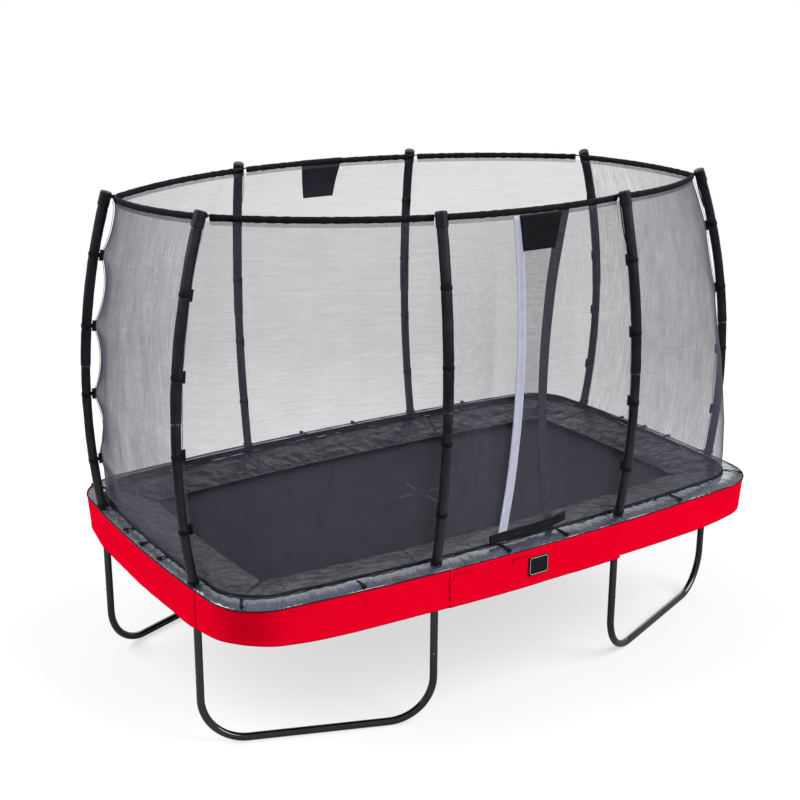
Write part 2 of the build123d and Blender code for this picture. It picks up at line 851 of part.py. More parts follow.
with BuildPart() as net_border:
    with BuildSketch(Plane.XY.offset(border_bottom)):
        add(outline_sketch(frame_line.grown(-border_outer), 0))
        add(outline_sketch(frame_line.grown(-border_inner), 0), mode=Mode.SUBTRACT)
    extrude(amount=border_thickness)
write(net_border, "net_border")

# ---------------------------------------------------------------- entrance trims and panels
entrance_top = (net_top("front_left") + net_top("front_right")) / 2
pivot_height = entrance_top - trim_width / 2 - seat_gap


def level_at(height):
    """Return the net level at a height in the middle of the entrance."""
    return (height - net_bottom) / (entrance_top - net_bottom)


def strip(sections, thickness):
    """Return a flat strip lofted through (x middle, y inner face, width, height) sections."""
    with BuildPart() as piece:
        for x, y, width, height in sections:
            with BuildSketch(Plane.XY.offset(height)):
                with Locations((x, y)):
                    Rectangle(width, thickness, align=(Align.CENTER, Align.MAX))
        loft()
    return piece.part


rivets = []
trim_foot = net_bottom + trim_foot_gap
for name, side, offset in (("trim_right", -1, trim_offset), ("trim_left", 1, -trim_thickness / 2)):
    heights = [trim_foot + (pivot_height - trim_foot) * step / 7 for step in range(8)]
    sections = [
        (side * trim_spread(name, level_at(z)), front_flat_y(level_at(z)) - offset, trim_width, z)
        for z in heights
    ]
    pivot_x, pivot_y = sections[-1][0], sections[-1][1]
    pivot_plane = Plane(origin=(pivot_x, pivot_y, pivot_height), z_dir=(0, -1, 0))
    with BuildPart() as trim:
        add(strip(sections, trim_thickness))
        with BuildSketch(pivot_plane):
            Circle(trim_width / 2)
        extrude(amount=trim_thickness)
        with BuildSketch(pivot_plane):
            Circle(rivet_radius + rivet_clearance)
        extrude(amount=2 * trim_thickness, both=True, mode=Mode.SUBTRACT)
    write(trim, name)
    rivets.append((pivot_x, pivot_y))

panel_levels = [step / 3 for step in range(4)]
with BuildPart() as entrance_panel:
    add(
        strip(
            [
                (
                    entrance_panel_shift,
                    front_flat_y(level_at(entrance_top - entrance_panel_height * share))
                    - panel_offset,
                    entrance_panel_top + (entrance_panel_foot - entrance_panel_top) * share,
                    entrance_top - entrance_panel_height * share,
                )
                for share in reversed(panel_levels)
            ],
            panel_thickness,
        )
    )
write(entrance_panel, "entrance_panel")

with BuildPart() as entrance_threshold:
    low = threshold_height - threshold_width / 2
    add(
        strip(
            [
                (
                    threshold_shift,
                    front_flat_y(level_at(low + threshold_width * share)) - panel_offset,
                    threshold_length,
                    low + threshold_width * share,
                )
                for share in (0.0, 0.5, 1.0)
            ],
            panel_thickness,
        )
    )
write(entrance_threshold, "entrance_threshold")

with BuildPart() as rear_flag:
    flag_high = ring_point("back_left").Z * 0.5 + ring_point("back_right").Z * 0.5 + hem_rise
    flag_sections = []
    for share in reversed(panel_levels):
        flag_z = flag_high - flag_height * share
        flag_level = min(1.0, level_at(flag_z))
        flag_sections.append(
            (
                flag_shift,
                net_surface(back_span, 0.5, flag_level).Y + hem_thickness / 2 + seat_gap + panel_thickness,
                flag_top + (flag_foot - flag_top) * share,
                flag_z,
            )
        )
    add(strip(flag_sections, panel_thickness))
write(rear_flag, "rear_flag")

# ---------------------------------------------------------------- ties and straps
with BuildPart() as net_ties:
    for name in pole_signs:
        for height in tie_heights:
            arc = pole_arcs[name]
            share = share_at_height(arc, height)
            along = arc % share
            wide = sleeve_lower_diameter if height < sleeve_joint_height else sleeve_upper_diameter
            level = (height - net_bottom) / (net_top(name) - net_bottom)
            seam = net_edge(name, level)
            aim = (Vector(seam.X, seam.Y, height) - arc @ share).normalized()
            base = arc @ share - along * (tie_width / 2)
            with BuildSketch(Plane(origin=base, x_dir=aim, z_dir=along)):
                Circle(wide / 2 + seat_gap + tie_thickness)
                tab = net_bottom_inset - net_thickness - 4 * seat_gap
                with Locations((tab / 2, 0)):
                    Rectangle(tab, tab_width / 3)
                Circle(wide / 2 + seat_gap, mode=Mode.SUBTRACT)
            extrude(amount=tie_width)
    for pivot_x, pivot_y in rivets:
        rivet_start = (pivot_x, pivot_y + rivet_reach, pivot_height)
        with BuildSketch(Plane(origin=rivet_start, z_dir=(0, -1, 0))):
            Circle(rivet_radius)
        extrude(amount=trim_thickness + 2 * rivet_reach)
write(net_ties, "net_ties")

with BuildPart() as net_straps:
    for offset in side_strap_offsets:
        for sign in (-1, 1):
            for sign_y in (-1, 1):
                outer = cover_line.side_y(offset) - skirt_thickness - seat_gap
                inner = frame_line.side_y(offset) - border_outer + strap_gap
                with BuildSketch(Plane.XY.offset(pad_top + seat_gap)):
                    with Locations((sign * offset, sign_y * (inner + outer) / 2)):
                        Rectangle(strap_width, outer - inner)
                extrude(amount=strap_thickness)
    for offset in end_strap_offsets:
        for sign in (-1, 1) if offset else (1,):
            for sign_x in (-1, 1):
                outer = cover_line.end_x(offset) - skirt_thickness - seat_gap
                inner = frame_line.end_x(offset) - border_outer + strap_gap
                with BuildSketch(Plane.XY.offset(pad_top + seat_gap)):
                    with Locations((sign_x * (inner + outer) / 2, sign * offset)):
                        Rectangle(outer - inner, strap_width)
                extrude(amount=strap_thickness)
write(net_straps, "net_straps")

# ---------------------------------------------------------------- jumping bed
mat_line = frame_line.grown(-mat_inset)
with BuildPart() as mat:
    add(outline_sketch(mat_line, mat_height - mat_thickness))
    extrude(amount=mat_thickness)
write(mat, "mat")

with BuildPart() as mat_binding:
    binding_bottom = mat_height - mat_thickness - seat_gap - binding_thickness
    with BuildSketch(Plane.XY.offset(binding_bottom)):
        add(outline_sketch(mat_line, 0))
        add(outline_sketch(mat_line.grown(-binding_width), 0), mode=Mode.SUBTRACT)
    extrude(amount=binding_thickness)
write(mat_binding, "mat_binding")

# Springs sit at chosen distances round the frame, clear of the T sockets
quarter = frame_line.quarter_length()
side_part, corner_part, end_part = frame_line.quarter_parts()
post_reach = frame_line.post_distance("front_right")
half_count = (side_springs_between_posts - 1) // 2
side_offsets = [spring_pitch * step for step in range(-half_count, half_count + 1)]
first_beyond = post_reach + socket_length / 2 + spring_pitch / 3
for step in range(side_springs_beyond_posts):
    beyond = first_beyond + spring_pitch * 0.94 * step
    side_offsets += [beyond, -beyond]
corner_offsets = [quarter - end_part - corner_part * share for share in corner_spring_shares]
corner_offsets = corner_offsets + [-offset for offset in corner_offsets]
end_offsets = [
    spring_pitch * (step + 0.5 - end_springs_between_posts / 2)
    for step in range(end_springs_between_posts)
]
long_springs = [start + offset for start in (0, 2 * quarter) for offset in side_offsets]
long_springs += [start + offset for start in (0, 2 * quarter) for offset in corner_offsets]
short_springs = [start + offset for start in (quarter, 3 * quarter) for offset in end_offsets]

spring_start = Vector(rail_radius + seat_gap, 0, 0)
ring_level = mat_height - mat_thickness / 2
vee_setback = vee_bend * (hypot(vee_length, vee_base / 2) / (vee_base / 2) - 1)
vee_tip = mat_inset - vee_wire / 2 - seat_gap - vee_length + vee_setback
spring_end = Vector(vee_tip - vee_wire / 2 - seat_gap, 0, ring_level - rail_height)
spring_run = spring_end - spring_start

with BuildPart(mode=Mode.PRIVATE) as spring:
    with BuildSketch(Plane(origin=spring_start, z_dir=spring_run)):
        Circle(spring_wire / 2)
    extrude(amount=spring_run.length)
    barrel_start = spring_start + spring_run * ((1 - spring_barrel_length / spring_run.length) / 2)
    with BuildSketch(Plane(origin=barrel_start, z_dir=spring_run)):
        Circle(spring_diameter / 2)
    extrude(amount=spring_barrel_length)
    chamfer(edges().filter_by(GeomType.CIRCLE).filter_by(
        lambda edge: abs(edge.radius - spring_diameter / 2) < 0.01), 3)

with BuildPart(mode=Mode.PRIVATE) as vee_ring:
    with BuildLine(Plane.XY) as vee_path:
        base_x = mat_inset - vee_wire / 2 - seat_gap
        FilletPolyline(
            (base_x - vee_length, 0),
            (base_x, vee_base / 2),
            (base_x, -vee_base / 2),
            radius=vee_bend,
            close=True,
        )
    with BuildSketch(Plane(origin=vee_path.line @ 0, z_dir=vee_path.line % 0)):
        Circle(vee_wire / 2)
    sweep(path=vee_path.line)


def placed(piece, distance, height):
    """Return a piece drawn along inward +X, set at a distance round the frame."""
    point = frame_line.point(distance)
    inward_x = frame_line.outward(distance) * -1
    plane = Plane(origin=(point.X, point.Y, height), x_dir=inward_x, z_dir=(0, 0, 1))
    return piece.moved(plane.location)


with BuildPart() as springs_long:
    add([placed(spring.part, distance, rail_height) for distance in long_springs])
write(springs_long, "springs_long")

with BuildPart() as springs_short:
    add([placed(spring.part, distance, rail_height) for distance in short_springs])
write(springs_short, "springs_short")

with BuildPart() as mat_rings:
    places = long_springs + short_springs
    add([placed(vee_ring.part, distance, ring_level) for distance in places])
write(mat_rings, "mat_rings")

# ---------------------------------------------------------------- pad and skirt
pad_outer = cover_line.grown(-skirt_thickness - seat_gap)
pad_drop = pad_top - (mat_height + pad_thickness + 10.0)
hole_radius = collar_radius + pole_hole_clearance


def pad_profile(arc_radius, overhang):
    """Draw the pad's section, as distances from its side's arc centre."""
    inner = arc_radius - pad_inner_inset
    ridge = arc_radius - pad_flat_inset
    outer = arc_radius + overhang
    Polyline(
        (inner, pad_bottom - pad_drop),
        (ridge, pad_bottom),
        (outer, pad_bottom),
        (outer, pad_top),
        (ridge, pad_top),
        (inner, pad_top - pad_drop),
        close=True,
    )


def mitre_wedge(on_side, sign):
    """Return a tall wedge that holds one side's share of the plan, out to the mitres."""
    inner_x, inner_y = frame_line.mitre_point(pad_inner_inset + 60)
    outer_x, outer_y = frame_line.mitre_point(0)
    run_x, run_y = outer_x - inner_x, outer_y - inner_y
    tip_x, tip_y = inner_x + run_x * 2, inner_y + run_y * 2
    with BuildPart() as wedge:
        with BuildSketch():
            with BuildLine():
                if on_side:
                    half = seam_gap / 2
                    Polyline(
                        (inner_x - half, sign * (inner_y + half)),
                        (tip_x - half, sign * (tip_y + half)),
                        (-tip_x + half, sign * (tip_y + half)),
                        (-inner_x + half, sign * (inner_y + half)),
                        close=True,
                    )
                else:
                    Polyline(
                        (sign * inner_x, inner_y),
                        (sign * tip_x, tip_y),
                        (sign * tip_x, -tip_y),
                        (sign * inner_x, -inner_y),
                        close=True,
                    )
            make_face()
        extrude(amount=2 * rail_height)
    return wedge.part


with BuildPart(mode=Mode.PRIVATE) as pad_limit:
    add(outline_sketch(pad_outer, 0))
    extrude(amount=2 * rail_height)


def pad_strip(centre, start_angle, arc_radius, overhang):
    """Return the pad's section turned about its side's arc centre."""
    reach = 16.0
    along = Vector(1, 0, 0).rotate(Axis.Z, start_angle - reach / 2)
    plane = Plane(origin=centre, x_dir=along, z_dir=along.cross(Vector(0, 0, 1)))
    with BuildPart() as turned:
        with BuildSketch(plane):
            with BuildLine():
                pad_profile(arc_radius, overhang)
            make_face()
        revolve(axis=Axis(centre, (0, 0, 1)), revolution_arc=reach)
    return turned.part


# Cylinders for the holes the poles' leaning collars pass through
with BuildPart(mode=Mode.PRIVATE) as pole_cutters:
    for name in pole_signs:
        centre = post_point(name) + Vector(0, 0, rail_height)
        with BuildSketch(Plane(origin=centre, z_dir=pole_arcs[name] % 0)):
            Circle(hole_radius)
        extrude(amount=2 * pole_collar_length)


for name, sign in (("front", -1), ("back", 1)):
    arc_centre = (0, sign * (frame_width / 2 - side_bow_radius), 0)
    with BuildPart() as side_pad:
        add(pad_strip(arc_centre, sign * 90, side_bow_radius, cover_overhang_side))
        add(pad_limit.part, mode=Mode.INTERSECT)
        add(mitre_wedge(True, sign), mode=Mode.INTERSECT)
        with BuildSketch():
            with Locations((-side_seam_offset, 0), (side_seam_offset, 0)):
                Rectangle(seam_gap, 2 * frame_width)
        extrude(amount=2 * rail_height, mode=Mode.SUBTRACT)
        add(pole_cutters.part, mode=Mode.SUBTRACT)
    write(side_pad, f"pad_{name}")

for name, sign in (("left", -1), ("right", 1)):
    arc_centre = (sign * (frame_length / 2 - end_bow_radius), 0, 0)
    with BuildPart() as end_pad:
        add(pad_strip(arc_centre, 90 - sign * 90, end_bow_radius, cover_overhang_end))
        add(pad_limit.part, mode=Mode.INTERSECT)
        add(mitre_wedge(False, sign), mode=Mode.INTERSECT)
        add(pole_cutters.part, mode=Mode.SUBTRACT)
    write(end_pad, f"pad_{name}")

# ---------------------------------------------------------------- skirt
with BuildPart(mode=Mode.PRIVATE) as skirt_ring:
    with BuildSketch(Plane.XY.offset(cover_top - skirt_drop)):
        add(outline_sketch(cover_line, 0))
        add(outline_sketch(cover_line.grown(-skirt_thickness), 0), mode=Mode.SUBTRACT)
    extrude(amount=skirt_drop)

for name, sign in (("front", -1), ("back", 1)):
    with BuildPart() as side_skirt:
        add(skirt_ring.part)
        with BuildSketch():
            with Locations((0, sign * frame_width / 2)):
                Rectangle(2 * side_seam_offset - seam_gap, frame_width / 2)
        extrude(amount=2 * rail_height, mode=Mode.INTERSECT)
    write(side_skirt, f"skirt_{name}")

for name, sign in (("left", -1), ("right", 1)):
    with BuildPart() as end_skirt:
        add(skirt_ring.part)
        with BuildSketch():
            with Locations((sign * frame_length / 2, 0)):
                Rectangle(frame_length / 2, 2 * end_seam_offset - seam_gap)
        extrude(amount=2 * rail_height, mode=Mode.INTERSECT)
    write(end_skirt, f"skirt_{name}")

with BuildPart() as skirt_corners:
    add(skirt_ring.part)
    with BuildSketch():
        Rectangle(2 * side_seam_offset + seam_gap, 2 * frame_width)
        Rectangle(2 * frame_length, 2 * end_seam_offset + seam_gap)
    extrude(amount=2 * rail_height, mode=Mode.SUBTRACT)
write(skirt_corners, "skirt_corners")

with BuildPart() as skirt_patch:
    patch_face = Vector(patch_shift, -cover_line.side_y(patch_shift) - seat_gap, patch_middle_height)
    with BuildSketch(Plane(origin=patch_face, x_dir=(1, 0, 0), z_dir=(0, -1, 0))):
        RectangleRounded(patch_width, patch_height, 6)
    extrude(amount=panel_thickness)
write(skirt_patch, "skirt_patch")
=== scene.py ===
"""Looks of a rectangular garden trampoline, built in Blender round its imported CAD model.

All lengths are metres in the CAD model's own frame: +X along the length, -Y towards the entrance
and +Z up. Each class below builds one sub-assembly and rides its pieces on the CAD bodies.
"""

import json
import logging
import math
from dataclasses import astuple, dataclass, field, replace
from enum import Enum
from typing import Callable, Sequence

import bpy
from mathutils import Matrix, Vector, noise

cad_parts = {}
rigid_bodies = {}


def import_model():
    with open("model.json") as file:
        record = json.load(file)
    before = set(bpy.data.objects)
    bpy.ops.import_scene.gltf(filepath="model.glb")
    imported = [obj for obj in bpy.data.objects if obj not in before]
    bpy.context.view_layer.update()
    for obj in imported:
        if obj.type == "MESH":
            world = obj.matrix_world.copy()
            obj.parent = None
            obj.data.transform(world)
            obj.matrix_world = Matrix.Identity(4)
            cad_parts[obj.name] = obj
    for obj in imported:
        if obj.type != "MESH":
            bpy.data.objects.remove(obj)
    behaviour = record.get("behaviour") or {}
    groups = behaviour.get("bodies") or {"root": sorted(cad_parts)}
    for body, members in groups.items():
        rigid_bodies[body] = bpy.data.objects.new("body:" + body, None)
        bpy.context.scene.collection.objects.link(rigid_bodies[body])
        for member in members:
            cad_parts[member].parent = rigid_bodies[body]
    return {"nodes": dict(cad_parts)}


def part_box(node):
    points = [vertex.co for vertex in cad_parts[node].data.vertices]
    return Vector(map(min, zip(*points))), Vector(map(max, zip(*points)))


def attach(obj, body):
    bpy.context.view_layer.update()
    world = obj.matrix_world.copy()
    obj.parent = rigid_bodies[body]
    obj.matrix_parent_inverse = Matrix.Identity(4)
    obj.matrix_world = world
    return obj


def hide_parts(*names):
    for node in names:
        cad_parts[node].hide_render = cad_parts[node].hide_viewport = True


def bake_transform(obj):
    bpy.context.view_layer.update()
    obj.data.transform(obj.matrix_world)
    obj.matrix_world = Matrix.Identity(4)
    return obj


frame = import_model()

logging.basicConfig(level=logging.INFO, format="%(levelname)s %(message)s")
log = logging.getLogger("trampoline")

ROOT = "frame"
BED = "bed"
FLOOR_REACH = 60.0  # half the studio floor, in metres
MM = 0.001  # a millimetre, in metres
Row = list[Vector]
Span = tuple["Post", "Post"]
Colour = tuple[float, float, float, float]
Stretch = tuple[float, float, float]
Stops = tuple[tuple[float, str], ...]
Node = bpy.types.Node


class Hold(Enum):
    """How a sheet of cloth is held."""

    STRETCHED = "stretched"
    HUNG = "hung"
    LAID = "laid"


class Section(Enum):
    """A stretch of the plan outline, going round from the middle of the entrance side."""

    FRONT = 0
    FRONT_RIGHT = 1
    RIGHT = 2
    BACK_RIGHT = 3
    BACK = 4
    BACK_LEFT = 5
    LEFT = 6
    FRONT_LEFT = 7


CORNERS = {
    Section.FRONT_RIGHT: (1, -1),
    Section.BACK_RIGHT: (1, 1),
    Section.BACK_LEFT: (-1, 1),
    Section.FRONT_LEFT: (-1, -1),
}  # each corner's side of the middle, along X and Y


def mix(a: float, b: float, share: float) -> float:
    """Blend two numbers."""
    return a + (b - a) * share


def smooth(low: float, high: float, value: float) -> float:
    """Step softly from 0 to 1 between two values."""
    share = min(1.0, max(0.0, (value - low) / (high - low)))
    return share * share * (3 - 2 * share)


def marks(length: float, count: int) -> list[float]:
    """Mark a length off in equal parts, from nothing to all of it."""
    return [length * i / count for i in range(count + 1)]


def ripple(x: float, y: float, z: float = 0.0) -> float:
    """Read seeded smooth noise, the same on every run."""
    return noise.noise(Vector((x, y, z)), noise_basis="PERLIN_ORIGINAL") * 1.6


# ---------------------------------------------------------------- plan and pole geometry
@dataclass(frozen=True)
class Outline:
    """A rounded rectangle whose sides are shallow arcs, tangent to its corner arcs."""

    half_length: float
    half_width: float
    side_radius: float
    end_radius: float
    corner_radius: float

    def grown(self, by: float) -> "Outline":
        """Offset the outline."""
        return Outline(*(size + by for size in astuple(self)))

    def side_y(self, x: float) -> float:
        """Find the long side at a place along it."""
        return self.half_width - self.side_radius + math.sqrt(self.side_radius**2 - x * x)

    def end_x(self, y: float) -> float:
        """Find the end at a place across it."""
        return self.half_length - self.end_radius + math.sqrt(self.end_radius**2 - y * y)

    def corner_centre(self) -> Vector:
        """Find the corner arc's centre.

        Returns:
            The centre in the +X +Y quarter.
        """
        side = Vector((0.0, self.half_width - self.side_radius))
        end = Vector((self.half_length - self.end_radius, 0.0))
        to_side = self.side_radius - self.corner_radius
        to_end = self.end_radius - self.corner_radius
        span = (end - side).length
        unit = (end - side) / span
        along = (to_side**2 - to_end**2 + span**2) / (2 * span)
        across = math.sqrt(to_side**2 - along**2)
        return side + unit * along + Vector((unit.y, -unit.x)) * across

    def tangents(self) -> tuple[Vector, Vector]:
        """Find where the corner arc meets its neighbours.

        Returns:
            The side tangent point and the end tangent point, in the +X +Y quarter.
        """
        corner = self.corner_centre()
        side = Vector((0.0, self.half_width - self.side_radius))
        end = Vector((self.half_length - self.end_radius, 0.0))
        return (
            side + (corner - side).normalized() * self.side_radius,
            end + (corner - end).normalized() * self.end_radius,
        )

    def at(self, section: Section, share: float) -> Vector:
        """Find a point of a stretch of the outline.

        Args:
            section: Which stretch.
            share: How far along it, going round from the entrance side to the right.

        Returns:
            The point in plan.
        """
        side, end = self.tangents()
        if section in (Section.FRONT, Section.BACK):
            reach = math.asin(side.x / self.side_radius)
            angle = mix(-reach, reach, share)
            x = self.side_radius * math.sin(angle)
            y = self.half_width - self.side_radius + self.side_radius * math.cos(angle)
            return Vector((x, -y)) if section is Section.FRONT else Vector((-x, y))
        if section in (Section.RIGHT, Section.LEFT):
            reach = math.asin(end.y / self.end_radius)
            angle = mix(-reach, reach, share)
            y = self.end_radius * math.sin(angle)
            x = self.half_length - self.end_radius + self.end_radius * math.cos(angle)
            return Vector((x, y)) if section is Section.RIGHT else Vector((-x, -y))
        corner = self.corner_centre()
        start = math.atan2(side.y - corner.y, side.x - corner.x)
        stop = math.atan2(end.y - corner.y, end.x - corner.x)
        from_side = section in (Section.FRONT_RIGHT, Section.BACK_LEFT)
        angle = mix(start, stop, share if from_side else 1 - share)
        point = corner + Vector((math.cos(angle), math.sin(angle))) * self.corner_radius
        sign_x, sign_y = CORNERS[section]
        return Vector((sign_x * point.x, sign_y * point.y))

    def length(self, section: Section) -> float:
        """Measure a stretch of the outline.

        Args:
            section: Which stretch.

        Returns:
            Its length.
        """
        side, end = self.tangents()
        if section in (Section.FRONT, Section.BACK):
            return 2 * self.side_radius * math.asin(side.x / self.side_radius)
        if section in (Section.RIGHT, Section.LEFT):
            return 2 * self.end_radius * math.asin(end.y / self.end_radius)
        corner = self.corner_centre()
        start = math.atan2(side.y - corner.y, side.x - corner.x)
        stop = math.atan2(end.y - corner.y, end.x - corner.x)
        return abs(start - stop) * self.corner_radius

    def walk(self, distance: float) -> Vector:
        """Find the point a distance round the outline.

        Args:
            distance: Distance from the middle of the entrance side, to the right.

        Returns:
            The point in plan.
        """
        total = sum(self.length(section) for section in Section)
        rest = (distance + self.length(Section.FRONT) / 2) % total
        for section in Section:
            length = self.length(section)
            if rest <= length:
                return self.at(section, rest / length)
            rest -= length
        return self.at(Section.FRONT_LEFT, 1.0)

    def around(self, count: int) -> list[Vector]:
        """Walk right round the outline in even steps."""
        total = 4 * self.quarter()
        return [self.walk(total * step / count) for step in range(count)]

    def outward(self, distance: float) -> Vector:
        """Find the outward direction a distance round the outline."""
        along = (self.walk(distance + 0.002) - self.walk(distance - 0.002)).normalized()
        return Vector((along.y, -along.x))

    def quarter(self) -> float:
        """Measure a quarter of the outline."""
        return sum(self.length(section) for section in Section) / 4


class Arc:
    """A circular arc through three points."""

    def __init__(self, first: Vector, middle: Vector, last: Vector) -> None:
        """Find the arc's circle.

        Args:
            first: Start of the arc.
            middle: A point on it.
            last: End of the arc.
        """
        a, b = middle - first, last - first
        normal = a.cross(b)
        offset = normal.cross(a) * b.length_squared + b.cross(normal) * a.length_squared
        self.centre = first + offset / (2 * normal.length_squared)
        self.arm = first - self.centre
        self.side = normal.normalized().cross(self.arm)
        end = last - self.centre
        self.turn = math.atan2(end.dot(self.side), end.dot(self.arm)) % (2 * math.pi)
        self.length = self.turn * self.arm.length

    def at(self, share: float) -> Vector:
        """Find a point of the arc."""
        angle = self.turn * share
        return self.centre + self.arm * math.cos(angle) + self.side * math.sin(angle)

    def along(self, share: float) -> Vector:
        """Find the arc's direction."""
        angle = self.turn * share
        return (self.side * math.cos(angle) - self.arm * math.sin(angle)).normalized()

    def share_at_height(self, height: float) -> float:
        """Find where a rising arc reaches a height.

        Args:
            height: The height.

        Returns:
            The share of the arc's length.
        """
        low, high = 0.0, 1.0
        for _ in range(30):
            half = (low + high) / 2
            if self.at(half).z < height:
                low = half
            else:
                high = half
        return low


@dataclass(frozen=True)
class Post:
    """Where a post stands and how its pole leans."""

    name: str
    sign_x: int
    sign_y: int
    on_side: bool
    lean: tuple[float, float, float]


@dataclass(frozen=True)
class Plan:
    """The dimensions that the soft goods share with the CAD model."""

    frame_line: Outline = Outline(1.830, 1.083, 15.0, 9.4, 0.330)
    cover_line: Outline = Outline(1.864, 1.170, 15.087, 9.434, 0.300)
    side_post: float = 0.636
    end_post: float = 0.616
    rail_height: float = 0.889
    pole_middle: float = 1.850
    pole_head: float = 2.762
    side_bulge: float = 0.093
    side_inset: float = 0.022
    side_drift: float = 0.029
    end_bulge: float = 0.059
    end_inset: float = 0.142
    end_drift: float = 0.080
    ring_inset: float = 0.046
    ring_bow: float = 0.075
    tie_heights: tuple[float, ...] = (1.240, 1.640, 2.040, 2.440)
    sleeve_joint: float = 1.812
    posts: tuple[Post, ...] = (
        Post("left_front", -1, -1, False, (0.0, 0.005, 0.042)),
        Post("front_left", -1, -1, True, (0.0, 0.005, 0.018)),
        Post("front_right", 1, -1, True, (-0.010, 0.010, 0.014)),
        Post("right_front", 1, -1, False, (-0.010, 0.005, -0.015)),
        Post("right_back", 1, 1, False, (-0.012, 0.006, -0.026)),
        Post("back_right", 1, 1, True, (-0.012, 0.006, -0.008)),
        Post("back_left", -1, 1, True, (-0.048, 0.010, 0.0)),
        Post("left_back", -1, 1, False, (-0.052, 0.008, -0.010)),
    )

    def spans(self) -> list[Span]:
        """List neighbouring posts."""
        return list(zip(self.posts, self.posts[1:] + self.posts[:1]))

    def foot(self, post: Post) -> Vector:
        """Find a post in plan.

        Args:
            post: The post.

        Returns:
            Its place, at height 0.
        """
        if post.on_side:
            y = self.frame_line.side_y(self.side_post)
            return Vector((post.sign_x * self.side_post, post.sign_y * y, 0.0))
        x = self.frame_line.end_x(self.end_post)
        return Vector((post.sign_x * x, post.sign_y * self.end_post, 0.0))

    def pole(self, post: Post) -> Arc:
        """Find a pole's centreline.

        Args:
            post: The pole's post.

        Returns:
            Its arc, from the rail to the ring.
        """
        foot = self.foot(post)
        if post.on_side:
            middle = foot + Vector((-post.sign_x * 0.004, post.sign_y * self.side_bulge, 0))
            head = foot - Vector((post.sign_x * self.side_drift, post.sign_y * self.side_inset, 0))
        else:
            middle = foot + Vector(
                (post.sign_x * self.end_bulge, -post.sign_y * self.end_drift / 5, 0)
            )
            head = foot - Vector((post.sign_x * self.end_inset, post.sign_y * self.end_drift, 0))
        return Arc(
            foot + Vector((0, 0, self.rail_height)),
            middle + Vector((0, 0, self.pole_middle)),
            head + Vector((0, 0, self.pole_head)) + Vector(post.lean),
        )

    def inward(self, post: Post) -> Vector:
        """Find the way from a pole's head to the ring.

        Args:
            post: The pole's post.

        Returns:
            A level unit vector.
        """
        if post.on_side:
            return Vector((-post.sign_x * 0.08, -post.sign_y, 0)).normalized()
        return Vector((-post.sign_x, -post.sign_y * 0.35, 0)).normalized()

    def ring_point(self, post: Post) -> Vector:
        """Find the ring beside a pole's head."""
        return self.pole(post).at(1.0) + self.inward(post) * self.ring_inset

    def ring(self, span: Span) -> Arc:
        """Find the bowed ring rod between two poles.

        Args:
            span: The two posts.

        Returns:
            The rod's arc.
        """
        start, end = self.ring_point(span[0]), self.ring_point(span[1])
        chord = end - start
        outward = Vector((chord.y, -chord.x, 0)).normalized()
        return Arc(start, (start + end) / 2 + outward * self.ring_bow, end)

    def post_distance(self, outline: Outline, post: Post) -> float:
        """Find how far round an outline a post stands.

        Args:
            outline: The outline.
            post: The post.

        Returns:
            Distance from the middle of the entrance side, to the right.
        """
        quarter = outline.quarter()
        shift = outline.side_radius * math.asin(self.side_post / self.frame_line.side_radius)
        if not post.on_side:
            reach = outline.end_radius * math.asin(self.end_post / self.frame_line.end_radius)
            shift = quarter - reach
        if post.sign_y < 0:
            return shift if post.sign_x > 0 else 4 * quarter - shift
        return 2 * quarter - shift if post.sign_x > 0 else 2 * quarter + shift


PLAN = Plan()
ENTRANCE, REAR = PLAN.spans()[1], PLAN.spans()[5]  # the posts beside the entrance and behind it


